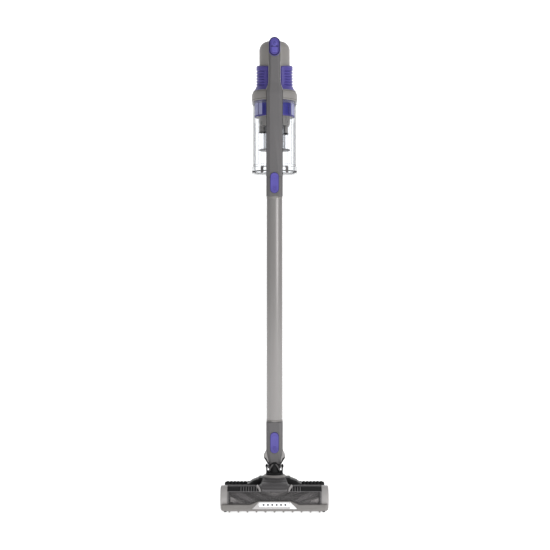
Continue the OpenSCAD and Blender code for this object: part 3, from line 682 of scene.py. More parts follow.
def spine():
    half = span("spine_shell")[1].x
    front, back = -half, half
    bar_half, bar_front, bar_back = 14.0, -16.0, 13.0
    levels = [
        (joint_z + 0.2, half - 0.4, front + 0.4, back - 0.4, FLAT_SHARE),
        (joint_z + 0.9, half, front, back, FLAT_SHARE)
    ]
    for step in range(25):
        z = shoulder_z - 6 + step * 2.2
        share = ease((z - shoulder_z) / (bar_z - shoulder_z + 8))
        flare = 1 + 0.04 * math.exp(-(((z - shoulder_z - 6) / 9) ** 2))
        levels.append((z, (half + (bar_half - half) * share) * flare, front + (bar_front - front) * share,
                       back + (bar_back - back) * share, FLAT_SHARE + 0.06 * share))
    top = vac_top
    for drop in (16, 9, 5, 2.4, 0.8, 0.15):
        lean = math.sqrt(max(1 - (1 - min(drop / 13, 1)) ** 2, 0.02))
        levels.append(
            (top - drop, bar_half * (0.35 + 0.65 * lean), bar_front + 5 * (1 - lean), bar_back, 0.6)
        )
    body = make_object("spine_column", *column(levels), spine_grey, 30)
    button_low, button_high = span("wand_button")
    notch = prism(
        stadium(button_width + 0.8, button_low.z - 6, button_high.z + 0.4, 20), "y", axis_y + front - 1,
        axis_y + front + 3.1
    )
    cut(body, notch)
    cut(body, lathe([(15.9, joint_z - 2), (15.9, joint_z + 60)], (0, axis_y), 64))
    seat = prism(
        stadium(24.4, plate_low.z - 0.4, top + 20, 20), "y", axis_y + bar_front - 2,
        axis_y + bar_front + 1.0
    )
    cut(body, seat)
    # Painted shade on the sideways faces.
    shade_flanks(bevelled(body, 0.9, 4), painted_flank_shade)
    fit(body, "hand_vacuum", "dark_grey", "spine_shell")


def bridges():
    """Upper and lower webs that carry the motor housing behind the grip bar."""
    low_rings = []
    for z, half, reach in (
        (joint_z + 198, 13, 22.5), (joint_z + 201, 15, 22.5), (joint_z + 212, 14.5, 22.5),
        (joint_z + 221, 11, 20)
    ):
        low_rings.append(
            [(x, axis_y + y, z) for x, y in rounded_rect(half, reach / 2 + 1, 3, (0, 14 + reach / 2 - 5))]
        )
    low = make_object("lower_bridge", *loft(low_rings), spine_grey, 35)
    cut(
        low,
        lathe(
            [(57.4, joint_z + 190), (57.4, joint_z + 216), (46.2, joint_z + 234), (38.4, joint_z + 240)],
            (0, motor_y), 96
        )
    )
    fit(bevelled(low, 0.8), "hand_vacuum", "dark_grey")
    outline = rounded_rect(12.6, 10.4, 4, (0, vac_top - 10.6))
    rings = []
    for y, scale in (
        (axis_y + 8, 1.0), (axis_y + 20, 0.97), (axis_y + 34, 1.0), (axis_y + 48, 1.04), (axis_y + 60, 1.0)
    ):
        rings.append([(x * scale, y, vac_top - 0.1 - (vac_top - 0.1 - z) * scale) for x, z in outline])
    high = make_object("upper_bridge", *loft(rings), spine_grey, 35)
    cut(high, lathe(dome_profile(0.1, cut_down=30), (0, motor_y), 96))
    fit(bevelled(high, 0.8), "hand_vacuum", "dark_grey")


def dome_profile(inset=0.0, cut_down=0.0):
    """Arch section of the motor dome as (radius, height) from its rim to its crown."""
    radius, corner = dome_radius - inset, 22.0 - inset
    base = dome_foot_z - cut_down
    top = dome_top - inset
    points = [(radius, base)]
    if cut_down:
        points = [(0, base), (radius, base)]
    points += arc((radius - corner, top - corner), corner, 0, 90, 18)
    return points + [(0, top)]


def grip_bar_details():
    pad_low, pad_high = span("grip_pad")
    rings = []
    for inset, y in ((0.0, -1.0), (0.0, 0.55), (0.5, 1.0), (1.4, 1.2)):
        outline = stadium(15.6 - 2 * inset, pad_low.z + inset, pad_high.z - inset, 14)
        rings.append([(x, bar_back_y + y, z) for x, z in outline])
    ribs = [
        slab(
            (-6 + 1.2 * (i % 2), bar_back_y + 0.6, pad_low.z + 8 + i * 4.4),
            (6 - 1.2 * (i % 2), bar_back_y + 1.5, pad_low.z + 9.8 + i * 4.4)
        )
        for i in range(14)
    ]
    pad = make_object("grip_pad_ribbed", *merged(loft(rings), *ribs), rubber)
    fit(bevelled(pad, 0.3, 2), "hand_vacuum", "rubber_black", "grip_pad")


def button_plate():
    low, high = plate_low.z, plate_high.z
    front = bar_front_y
    rings = []
    for inset, depth in ((0.4, 1.2), (0.0, 0.6), (0.0, -1.3), (0.35, -2.0), (1.2, -2.5), (2.6, -2.6)):
        rings.append(
            [(x, front + depth, z) for x, z in stadium(26 - 2 * inset, low + inset, high - inset, 24)]
        )
    plate = make_object("button_plate_oval", *loft(rings), grip_purple, 40)
    power = turned(lathe([(7.5, -6), (7.5, 6)], steps=64), "y", (0, front - 1, low + 30))
    cut(plate, power)
    boost = prism(rounded_rect(7.5, 6.8, 3, (0, low + 14.8)), "y", front - 6, front + 4)
    cut(plate, boost)
    fit(bevelled(plate, 0.3, 2), "hand_vacuum", "purple", "button_plate")
    # The outline ring lays dark purple over the plate's rounded front rim as painted shade; the step is a
    # raised ring.
    for word, material, wide, thin, at in (
        ("outline", print_and_rim_shade_purple, 26.1, 20.6, -2.8), ("step", key_purple, 27.6, 26.1, -0.6)
    ):
        rings = [
            [
                (x, front + y, z)
                for x, z in stadium(w, low - (w - 26) / 2, high + (w - 26) / 2 - 0.9 * (w > 26), 24)
            ]
            for w, y in (
                (wide, at + 1.0), (wide, at + 0.15), (thin + 0.3, at), (thin, at + 0.2), (thin, at + 1.0)
            )
        ]
        add(
            "button_" + word, loft(rings, caps=False, closed="loop"), material, "hand_vacuum", "purple",
            angle=50
        )
    for index, z in enumerate((low + 21.5, low + 23.4)):
        groove = slab((-8.8, front - 2.85, z - 0.5), (8.8, front - 2.3, z + 0.35))
        add(f"button_groove_{index}", groove, deck_black, "hand_vacuum", "black_plastic")


def key(name, body, outline_at, front):
    """A press key: crowned cap on a straight stem."""
    rings = []
    for inset, depth in (
        (0.3, 4.8), (0.3, 1.6), (0.0, 1.2), (0.0, 0.25), (0.4, 0.0), (1.2, -0.2), (3.0, -0.38)
    ):
        rings.append([(x, front + depth, z) for x, z in outline_at(inset)])
    add(name + "_cap", loft(rings), key_purple, body, "purple", name, angle=40)


def press_keys():
    front = bar_front_y - 3.6
    low = plate_low.z
    key("power_button", "power_key", lambda inset: arc((0, low + 30), 7.1 - inset, 0, 354, 47), front)
    key(
        "boost_button", "boost_key",
        lambda inset: rounded_rect(7.1 - inset, 6.5 - inset, max(2.8 - inset, 0.6), (0, low + 14.8)), front
    )
    mark = turned(
        lathe(
            [(3.4, 0.0), (3.4, -0.35), (2.7, -0.35), (2.7, 0.0)], steps=40, start=60, sweep=300, hollow=True
        ),
        "y", (0, front - 0.3, low + 30)
    )
    bar = slab((-0.35, front - 0.65, low + 30.2), (0.35, front - 0.2, low + 34))
    add("power_mark", merged(mark, bar), print_and_rim_shade_purple, "power_key", "purple")


# ---- Hand vacuum: motor housing ----


def motor_dome():
    wall = 2.2
    outside = dome_profile()
    inside = [(max(r - wall, 0), z - wall * (r < 38)) for r, z in reversed(dome_profile())]
    shell = make_object("motor_dome_shell", *lathe(outside + inside[1:], (0, motor_y), 128), housing_grey, 30)
    cut(shell, slab((-60, motor_y + 31, grip_foot_z), (60, motor_y + 80, vac_top - 48)))
    for i in range(-3, 4):
        angle = math.radians(90 + i * 14)
        x, y = dome_radius * math.cos(angle), motor_y + dome_radius * math.sin(angle)
        turn = Matrix.Rotation(angle, 3, "Z")
        verts, faces = prism(stadium(2.8, vac_top - 34, vac_top - 20, 6), "x", -6, 6)
        verts = [tuple(turn @ Vector(v)) for v in verts]
        cut(shell, ([(vx + x, vy + y, vz) for vx, vy, vz in verts], faces))
    fit(shell, "hand_vacuum", "mid_grey", "motor_housing")
    back = slab((-22.5, motor_y + 28.8, grip_foot_z), (22.5, motor_y + 31, vac_top - 46))
    shelf = slab((-22.5, motor_y + 28.8, vac_top - 48), (22.5, motor_y + 35, vac_top - 45.8))
    add("battery_bay_wall", merged(back, shelf), housing_grey, "hand_vacuum", "mid_grey", bevel=0.4)


def collar():
    """Flared ring that carries the cup, with a floor plate and a filter chamber."""
    z = joint_z + 197
    profile = [
        (55.3, z), (56.9, z), (57.35, z + 0.5), (57.5, z + 1.2), (57.5, z + 15.5), (57.2, z + 18.4),
        (56.3, z + 20.6), (54.6, z + 23.2), (51.5, z + 24), (38.2, z + 24), (38.2, z + 21.8),
        (51.3, z + 21.8), (51.5, z + 5), (24, z + 5), (24, z + 2), (55.3, z + 2),
    ]
    ring = make_object("housing_collar", *lathe(profile, (0, motor_y), 160, hollow=True), housing_grey, 32)
    cut(ring, slab((-9.3, motor_y + 52, z + 3.7), (9.3, motor_y + 62, z + 14.3)))
    fit(ring, "hand_vacuum", "mid_grey")
    groove = [(57.55, z + 3.0), (57.55, z + 3.7), (57.3, z + 3.7), (57.3, z + 3.0)]
    add(
        "collar_line", lathe(groove, (0, motor_y), 128, hollow=True), deck_black, "hand_vacuum",
        "black_plastic"
    )


def grip_radius(z, x):
    """Outer radius of a side grip: flared foot, ribbed barrel, rounded shoulder."""
    base, top = grip_foot_z, grip_top_z
    flare = 8.6 * math.exp(-((max(z - base, 0) / 8.0) ** 1.7))
    shoulder = 3.0 * ease((z - (top - 4)) / 4) ** 2
    radius = 46 + flare - shoulder
    reach = ease((abs(x) - 24) / 4)
    for i in range(6):
        centre = top - 14.5 - i * 7.5
        radius -= 3.4 * reach * math.exp(-(((z - centre) / 1.5) ** 4))
    return radius


def side_grip(side, name):
    """One ribbed grip: outer skin from the radius formula, inner skin on the dome, rolled edges."""
    rows, columns = 150, 72
    inner_radius = dome_radius + 0.1

    def skin_point(radius, angle, z):
        droop = 8.0 * max(math.cos(angle), 0) ** 1.2
        height = grip_foot_z + (z - grip_foot_z) * (grip_tall - droop) / grip_tall
        return side * radius * math.sin(angle), motor_y - radius * math.cos(angle), height

    rings = []
    for row in range(rows + 1):
        z = grip_foot_z + grip_tall * row / rows
        inset = 15.2 + 3.5 * math.exp(-(((z - grip_foot_z) / 10) ** 2)) + 2.0 * ease((z - grip_top_z + 8) / 8)
        start, end = math.asin(inset / grip_radius(z, 40)), math.radians(118)
        angles = [start + (end - start) * col / columns for col in range(columns + 1)]
        ring = []
        for col, angle in enumerate(angles):
            rolled = 2.4 * (1 - ease(min(col, columns - col) / 4)) ** 2
            ring.append(skin_point(grip_radius(z, 46 * math.sin(angle)) - rolled, angle, z))
        ring += [skin_point(inner_radius, angle, z) for angle in reversed(angles)]
        rings.append(ring)
    foot_rows = 5
    add(name + "_ribbed", loft(rings[foot_rows:]), grip_purple, "hand_vacuum", "purple", name, angle=50)
    painted_shadow = [
        [(x * (1.004 if math.hypot(x, y - motor_y) > 39 else 1), y, z) for x, y, z in ring]
        for ring in rings[: foot_rows + 1]
    ]
    add(name + "_foot", loft(painted_shadow), housing_grey, "hand_vacuum", "mid_grey", angle=50)


def grip_lips():
    """Light edge strips between the side grips and the dome front."""
    base, top = grip_foot_z, grip_top_z
    for side, name in ((-1, "grip_lip_left"), (1, "grip_lip_right")):
        rings = []
        for row in range(31):
            z = base + 0.3 + (top + 3 - base) * row / 30
            inner = 12.9 + 5.5 * math.exp(-(((z - base) / 12) ** 2))
            radius = grip_radius(min(z, top - 1), 0) - 0.5
            outer = inner + 2.3
            y_in = motor_y - math.sqrt(radius**2 - inner**2)
            y_out = motor_y - math.sqrt(radius**2 - outer**2)
            ring = [
                (inner, y_in + 0.2), (inner + 0.8, y_in - 0.35), (outer, y_out + 0.1), (outer, y_out + 4.5),
                (inner, y_in + 4.0)
            ]
            rings.append([(side * x, y, z) for x, y in ring])
        add(name, loft(rings), cap_grey, "hand_vacuum", "light_grey", angle=40)


def battery():
    low, high = span("battery_pack")
    rings = []
    for inset, z in (
        (1.4, low.z), (0.3, low.z + 0.8), (0.0, low.z + 2), (0.0, high.z - 5), (0.6, high.z - 2),
        (2.4, high.z - 0.4), (3.4, high.z)
    ):
        half = high.x - inset
        front, back = low.y, high.y - inset
        outline = [(half, front), (half, back - 9)] + arc((half - 8, back - 8), 8, 0, 90, 8) + arc(
            (8 - half, back - 8), 8, 90, 180, 8
        ) + [(-half, back - 9), (-half, front)]
        rings.append([(x, y, z) for x, y in outline])
    pack = make_object("battery_case", *loft(rings), collar_grey, 35)
    latch_low, latch_high = span("battery_latch")
    cut(pack, slab((-8.3, high.y - 4.5, latch_low.z - 0.3), (8.3, high.y + 2, latch_high.z + 0.3)))
    cut(pack, turned(lathe([(2.75, -5), (2.75, 5)], steps=40), "y", (0, high.y - 2, low.z + 9)))
    for side in (-1, 1):
        for i in range(5):
            z = low.z + 20 + i * 5.2
            cut(pack, slab((side * 31.6 - 1.2, high.y - 24, z), (side * 31.6 + 1.2, high.y - 12, z + 2.2)))
    fit(bevelled(pack, 0.5), "battery", "dark_grey", "battery_pack")
    rim = turned(
        lathe([(2.8, -0.6), (2.8, 0.1), (4.4, 0.1), (4.8, -0.6)], steps=40, hollow=True), "y",
        (0, high.y - 0.2, low.z + 9)
    )
    add("charge_port_rim", rim, deck_black, "battery", "black_plastic")
    tab = slab((-8, latch_low.y, latch_low.z), (8, latch_high.y, latch_high.z))
    lines = [
        slab(
            (-6, latch_high.y - 0.5, latch_low.z + 2 + i * 2.2),
            (6, latch_high.y, latch_low.z + 3 + i * 2.2)
        )
        for i in range(3)
    ]
    add(
        "battery_latch_tab", merged(tab, *lines), key_purple, "battery_release", "purple", "battery_latch",
        bevel=0.5
    )


def cup_release():
    tab = slab(*span("cup_button"))
    add("cup_release_tab", tab, spine_grey, "cup_release", "dark_grey", "cup_button", bevel=0.8)


# ---- Hand vacuum: cup and separator ----

cup_bore = 52.9


def dust_cup():
    centre = (0, motor_y)
    bottom = joint_z + 20
    top = cup_top
    outside = [
        (53, bottom), (56.9, bottom), (57.7, bottom + 0.8), (58, bottom + 2), (58, bottom + 11.5),
        (57.4, bottom + 13), (55.6, bottom + 14.2), (55, bottom + 15.5), (55, top - 0.6), (54.6, top),
        (53.3, top), (53, top - 0.5)
    ]
    wall = make_object("cup_wall", *lathe(outside, centre, 160, hollow=True), cup_clear, 30)
    port = slab((-9.6, motor_y - 70, joint_z + 122.4), (9.6, motor_y - 40, joint_z + 145.6))
    cut(wall, port)
    fit(wall, "cup", "clear_cup", "dust_cup")
    for name, z, tall, out in (
        ("cup_ring_low", bottom + 16.5, 1.2, 55.35), ("cup_ring_high", top - 9.6, 6.8, 57.0)
    ):
        bead = [
            (54.95, z), (out - 0.5, z), (out, z + 0.3), (out, z + tall - 0.3), (out - 0.2, z + tall),
            (54.95, z + tall)
        ]
        add(name, lathe(bead, centre, 128, hollow=True), rim_clear, "cup", "clear_cup")
    ribs = []
    for side, angle in ((-1, 50), (1, 53), (1, 43)):
        turn = math.radians(angle)
        x, y = side * cup_bore * math.sin(turn), motor_y - cup_bore * math.cos(turn)
        ribs.append(slab((x - 0.45, y - 0.6, bottom + 18), (x + 0.45, y + 0.9, top - 12)))
    add("cup_ribs", merged(*ribs), rib_clear, "cup", "clear_cup")
    seal = [(cup_bore, bottom + 0.3), (57.6, bottom + 0.3), (57.6, bottom + 1.5), (cup_bore, bottom + 1.5)]
    add(
        "cup_seal", lathe([(r - 0.2, z) for r, z in seal], centre, 128, hollow=True), rubber, "cup",
        "rubber_black"
    )
    ribs = []
    for angle in (-70, -38, 38, 70, 110, 146, 214, 250):
        ribs.append(round_motor(slab((-0.5, -cup_bore, bottom + 4), (0.5, -51.3, top - 55)), angle))
    add("cup_guide_ribs", merged(*ribs), core_clear, "cup", "clear_cup")
    hinge = [
        slab(
            (side * 11.2 - 1.8, motor_y + 50, joint_z + 14),
            (side * 11.2 + 1.8, motor_y + 59.4, joint_z + 22)
        )
        for side in (-1, 1)
    ]
    add("cup_hinge_ears", merged(*hinge), core_clear, "cup", "clear_cup", bevel=0.6)


def cup_door():
    centre = (0, motor_y)
    low, high = joint_z + 14, joint_z + 19.5
    plate = [
        (0, low + 1.6), (40, low + 1.4), (50.5, low + 1.6), (51, low + 4.6), (53.2, low + 5.5),
        (54.8, low + 5.5), (56.6, low + 5.2), (57, low + 4.4), (57, low + 1.2), (55.8, low + 0.2),
        (53, low), (20, low), (0, low)
    ]
    disc = make_object("cup_door_disc", *lathe(plate, centre, 128), cup_clear, 30)
    for side in (-1, 1):
        cut(
            disc,
            slab(
                (side * 11.25 - 2.15, motor_y + 48.9, low - 2),
                (side * 11.25 + 2.15, motor_y + 62, high + 2)
            )
        )
    fit(disc, "door", "clear_cup", "cup_door")
    ribs = []
    for i in range(12):
        ribs.append(round_motor(slab((12, -0.6, low + 1.3), (50, 0.6, low + 3.6)), 30 * i))
    hub = lathe(
        [(12.5, low + 1.3), (12.5, low + 3.8), (11.3, low + 3.8), (11.3, low + 1.3)], centre, 64,
        hollow=True
    )
    add("cup_door_ribs", merged(*ribs, hub), core_clear, "door", "clear_cup")
    seal = [(53.0, high - 0.3), (54.6, high - 0.3), (54.4, high + 0.5), (53.2, high + 0.5)]
    add("cup_door_seal", lathe(seal, centre, 128, hollow=True), rubber, "door", "rubber_black")
    barrel = turned(
        lathe([(3, -9), (3, 9), (1.4, 9), (1.4, -9)], steps=40, hollow=True), "x",
        (0, motor_y + 56.5, joint_z + 16.8)
    )
    add("cup_door_barrel", barrel, core_clear, "door", "clear_cup")


def door_latch():
    low, high = span("door_latch")
    r = 58.4
    pieces_made = []
    for side in (-1, 1):
        rings = []
        for z, grow in ((low.z, 0.5), (low.z + 1.5, 0.0), (high.z - 3, 0.0), (high.z - 0.5, 0.8)):
            ring = []
            for x in (27.3 + grow, 29, 31, 33, 34.7 - grow):
                ring.append((side * x, motor_y - math.sqrt(r * r - x * x), z))
            for x in (34.7 - grow, 33, 31, 29, 27.3 + grow):
                ring.append((side * x, motor_y - math.sqrt(r * r - x * x) - 2.4, z))
            rings.append(ring)
        pieces_made.append(loft(rings))
    bar = turned(lathe([(1.15, -33), (1.15, 33)], steps=32), "x", (0, motor_y - 59.8, joint_z + 30))
    arms = [
        slab(
            (side * 28.5 - 1.2, motor_y - 60.8, joint_z + 28.9),
            (side * 28.5 + 1.2, motor_y - 50.9, joint_z + 31)
        )
        for side in (-1, 1)
    ]
    add(
        "door_latch_bar", merged(*pieces_made, bar, *arms), spine_grey, "latch", "dark_grey", "door_latch",
        bevel=0.4
    )


def separator():
    """Gauze shroud, cone with its lobes, clear core tube and disc inside the cup."""
    centre = (0, motor_y)
    top = joint_z + 199
    low = top - 41
    gauze = [(50, low + 3), (50, top - 3), (49.3, top - 3), (49.3, low + 3)]
    add(
        "shroud_gauze", lathe(gauze, centre, 128, hollow=True), shroud_mesh, "hand_vacuum", "purple",
        "mesh_shroud"
    )
    for name, z0, z1, outer in (
        ("shroud_foot", low, low + 3.4, 50.6), ("shroud_crown", top - 3.4, top, 50.4)
    ):
        ring = [
            (48.2, z0), (outer - 0.5, z0), (outer, z0 + 0.5), (outer, z1 - 0.5), (outer - 0.5, z1),
            (48.2, z1)
        ]
        add(name, lathe(ring, centre, 128, hollow=True), grip_purple, "hand_vacuum", "purple")
    posts = []
    for i in range(8):
        posts.append(round_motor(slab((-1.1, -50.3, low + 3), (1.1, -48.9, top - 3)), 36 * i + 54))
    add("shroud_posts", merged(*posts), grip_purple, "hand_vacuum", "purple")
    # Darker solid band across the front of the shroud: painted shade against the lighter gauze sides, in
    # place of reflections on the sides.
    front = lathe(
        [(49.2, low + 3), (50.35, low + 3), (50.35, top - 3), (49.2, top - 3)], centre, 48, 270 - 38, 90,
        hollow=True
    )
    add("shroud_front_shaded", front, shroud_shade_purple, "hand_vacuum", "purple")
    floor = lathe(
        [(26, low + 0.1), (49, low + 0.1), (49, low + 1.5), (26, low + 1.5)], centre, 96, hollow=True
    )
    add("shroud_floor", floor, duct_grey, "hand_vacuum", "mid_grey")
    cone = [
        (40, low), (39.6, low - 2), (39.3, low - 12), (38, low - 21), (37, low - 22), (18, low - 22),
        (18, low)
    ]
    lobe = lathe(
        [(9, low - 20), (9, low - 36), (8.2, low - 38.5), (6, low - 39), (0, low - 39)], (-30, motor_y), 48
    )
    pipe = lathe(
        [(6, low - 20), (6, low - 43), (4.6, low - 43), (4.6, low - 20)], (28, motor_y), 48, hollow=True
    )
    add(
        "separator_cone", merged(lathe(cone, centre, 96, hollow=True), lobe, pipe), housing_grey,
        "hand_vacuum", "mid_grey", "cyclone_cone"
    )
    band = lathe(
        [(9.3, low - 39.3), (9.3, low - 36.6), (8.6, low - 36.6), (8.6, low - 39.3)], (-30, motor_y), 48,
        hollow=True
    )
    tip = lathe(
        [(6.5, low - 43.2), (6.5, low - 39.5), (5.9, low - 39.5), (5.9, low - 43.2)], (28, motor_y), 48,
        hollow=True
    )
    add("separator_bands", merged(band, tip), deck_black, "hand_vacuum", "black_plastic")
    core_top, core_low = low - 22, low - 82
    core = [
        (27.5, core_low + 1), (27.5, core_top - 8), (26.5, core_top), (25, core_top), (26, core_top - 8),
        (26, core_low + 1)
    ]
    add(
        "core_tube", lathe(core, centre, 96, hollow=True), core_clear, "hand_vacuum", "clear_cup",
        "vortex_tube"
    )
    disc = [
        (0, core_low - 1.8), (38.6, core_low - 1.8), (40, core_low - 1), (40, core_low),
        (38.6, core_low + 0.9), (0, core_low + 0.9)
    ]
    add("core_disc", lathe(disc, centre, 96), spine_grey, "hand_vacuum", "dark_grey")


# ---- Neck ----

fork_x, yoke_ear_x = 14.2, 18.8


def neck():
    high = span("neck_collar")[1]
    half = tube_high.x + 0.45
    top = high.z
    levels = [
        (pivot.z + 6.5, 12.5, -12.5, 12.5, 0.5), (pivot.z + 12, 15.5, -15.5, 15, 0.52),
        (pivot.z + 22, 18.8, -18.6, 18.4, 0.55),
        (pivot.z + 34, half - 0.2, 0.2 - half, half - 0.2, FLAT_SHARE),
        (pivot.z + 42, half, -half, half, FLAT_SHARE), (top - 0.9, half, -half, half, FLAT_SHARE),
        (top - 0.3, half - 0.35, 0.35 - half, half - 0.35, FLAT_SHARE),
    ]
    body = make_object("neck_column", *column(levels), collar_grey, 28)
    button_low, button_high = span("neck_button")
    cut(
        body,
        prism(
            stadium(button_width + 0.6, button_low.z - 0.3, button_high.z + 0.3, 20), "y", axis_y - half - 1,
            axis_y - half + 3.1
        )
    )
    cut(
        body,
        lathe(
            [(11.6, pivot.z - 10), (11.6, pivot.z + 30), (15.5, pivot.z + 40), (15.5, top + 1)],
            (0, axis_y), 64
        )
    )
    arch = turned(lathe([(9.5, -30), (9.5, 30)], steps=64), "y", (0, axis_y, pivot.z + 2.5))
    cut(body, arch)
    # Painted shade on the sideways faces.
    shade_flanks(bevelled(body, 0.5), painted_flank_shade)
    fit(body, "neck", "dark_grey", "neck_collar")
    release_button("neck_button", "neck_release", button_low.z, button_high.z, -half - 2.05)
    for side, word in SIDES:
        rings = []
        for y, inset in ((-13, 2.2), (-11, 0.6), (-4, 0.0), (6, 0.0), (12, 1.0), (14, 2.6)):
            outline = [
                (half - 2.5, pivot.z + 40.5 - inset), (half + 1.0, pivot.z + 38.5 - inset),
                (high.x - 1.2 - inset, pivot.z + 31 - inset), (high.x - inset, pivot.z + 25.5),
                (high.x - 1.0 - inset, pivot.z + 22.5 + inset), (16.5, pivot.z + 8.6 + inset),
                (14.5, pivot.z + 12),
            ]
            rings.append([(side * x, axis_y + y, z) for x, z in outline])
        wing = make_object(f"neck_wing_{word}", *loft(rings), cap_grey, 30)
        fit(bevelled(wing, 0.5), "neck", "light_grey")
        # Black block under each wing: painted shadow filling the shade below the wing.
        shadow = prism(
            [
                (half + 0.2, pivot.z + 21.5), (high.x - 0.7, pivot.z + 23.3),
                (high.x - 1.3, pivot.z + 21.4), (16, pivot.z + 6.6), (14, pivot.z + 8)
            ],
            "y", axis_y - 13.6, axis_y + 10
        )
        add(
            f"neck_wing_{word}_foot", ([(side * x, y, z) for x, y, z in shadow[0]], shadow[1]), deck_black,
            "neck", "black_plastic"
        )
        strut = []
        for share in range(9):
            t = share / 8
            x = 3.6 + (14.2 - 3.6) * t ** 0.8
            z = pivot.z + 5.0 - 17.5 * t
            y = axis_y - 13.4 + 4.2 * t
            strut.append(
                [
                    (side * (x - 1.5), y, z + 1.1), (side * (x + 1.5), y, z + 1.5),
                    (side * (x + 1.7), y + 3, z + 0.4), (side * (x - 1.7), y + 3, z - 0.4)
                ]
            )
        hub = turned(
            lathe([(0, 0), (8.6, 0), (9.2, 0.6), (9.2, 4.4), (8.6, 5.0), (0, 5.0)], steps=48), "x",
            (8.3 if side > 0 else -13.3, axis_y, pivot.z)
        )
        add(f"neck_hub_{word}", hub, yoke_black, "neck", "black_plastic")
        add(f"neck_strut_{word}", loft(strut), strut_grey, "neck", "dark_grey", angle=50)
        ear = turned(
            lathe([(6, -1.9), (6, 1.9), (2.7, 1.9), (2.7, -1.9)], steps=48, hollow=True), "x",
            (side * fork_x, axis_y, pivot.z)
        )
        web = prism(
            [
                (axis_y - 6, pivot.z + 2.5), (axis_y + 6, pivot.z + 2.5), (axis_y + 9, pivot.z + 13),
                (axis_y - 9, pivot.z + 13)
            ],
            "x", side * fork_x - 1.9, side * fork_x + 1.9
        )
        add(f"neck_ear_{word}", merged(ear, web), collar_grey, "neck", "dark_grey", bevel=0.3)


def yoke():
    base = span("neck_base")[1].z + 0.3
    disc = lathe(
        [
            (12.6, base), (21.3, base), (22, base + 0.6), (21.4, base + 1.8), (19.5, base + 2.5),
            (12.6, base + 2.5)
        ],
        (0, axis_y), 96, hollow=True
    )
    spigot = lathe(
        [(12.4, base - 16), (14.8, base - 16), (14.8, base + 1), (12.4, base + 1)], (0, axis_y), 64,
        hollow=True
    )
    add("yoke_turntable", merged(disc, spigot), yoke_black, "swivel", "black_plastic", "swivel_yoke")
    for side, word in SIDES:
        outline = [(-8.5, base + 2), (8.5, base + 2), (6.2, pivot.z - 3)] + arc(
            (0, pivot.z), 5.6, -25, 205, 20
        ) + [(-6.2, pivot.z - 3)]
        ear = prism(
            [(axis_y + y, z) for y, z in outline], "x", side * yoke_ear_x - 1.75, side * yoke_ear_x + 1.75
        )
        knob = turned(
            lathe([(4.2, 0), (4.0, side * 1.4), (3.2, side * 1.9), (0, side * 1.9)], steps=48), "x",
            (side * 20.4, axis_y, pivot.z)
        )
        add(f"yoke_ear_{word}", merged(ear, knob), yoke_black, "swivel", "black_plastic", bevel=0.5)
    rib = slab((-17.5, axis_y - 14.2, base + 2), (17.5, axis_y - 11.8, base + 5.2))
    walls = [
        slab(
            (min(side * 8.9, side * 17.2), axis_y - 4.5, base + 1.8),
            (max(side * 8.9, side * 17.2), axis_y - 2.5, pivot.z - 9.8)
        )
        for side in (-1, 1)
    ]
    add("yoke_walls", merged(*walls), yoke_black, "swivel", "black_plastic")
    add("yoke_rib", rib, yoke_black, "swivel", "black_plastic", bevel=0.4)


def hose():
    """Corrugated hose through the fork, between the swivel and the neck."""
    low, high = pivot.z - 18, pivot.z + 20
    groove, crest, bore = 9.2, 10.7, 8.4
    outside = []
    rings = 11
    pitch = (high - low) / rings
    for i in range(rings):
        z = low + i * pitch
        outside += [
            (groove, z + 0.2), (groove + 0.3, z + 0.7), (crest - 0.2, z + 1.1), (crest, z + pitch * 0.5),
            (crest - 0.2, z + pitch - 1.1), (groove + 0.3, z + pitch - 0.7)
        ]
    outside += [(groove, high)]
    inside = [(bore, z) for z in (high, (low + high) / 2, low)]
    piece = make_object(
        "neck_hose_corrugated", *lathe(outside + inside, (0, axis_y), 72, hollow=True), hose_black, 60
    )
    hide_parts("neck_hose")
    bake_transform(piece)


# ---- Floor head ----


skin_radius = 30.0
window_top, window_foot = 144, 204
ridge_half = 124.5
cap_width = 17
wheel_x, roller_x = 86, 118
louvre_counts, louvre_pitch = ((-1, 8), (1, 5)), 6.2


def chamber(radius, angle):
    """Point on the brush chamber, as (y, z)."""
    return roll.y + radius * math.cos(math.radians(angle)), roll.z + radius * math.sin(math.radians(angle))


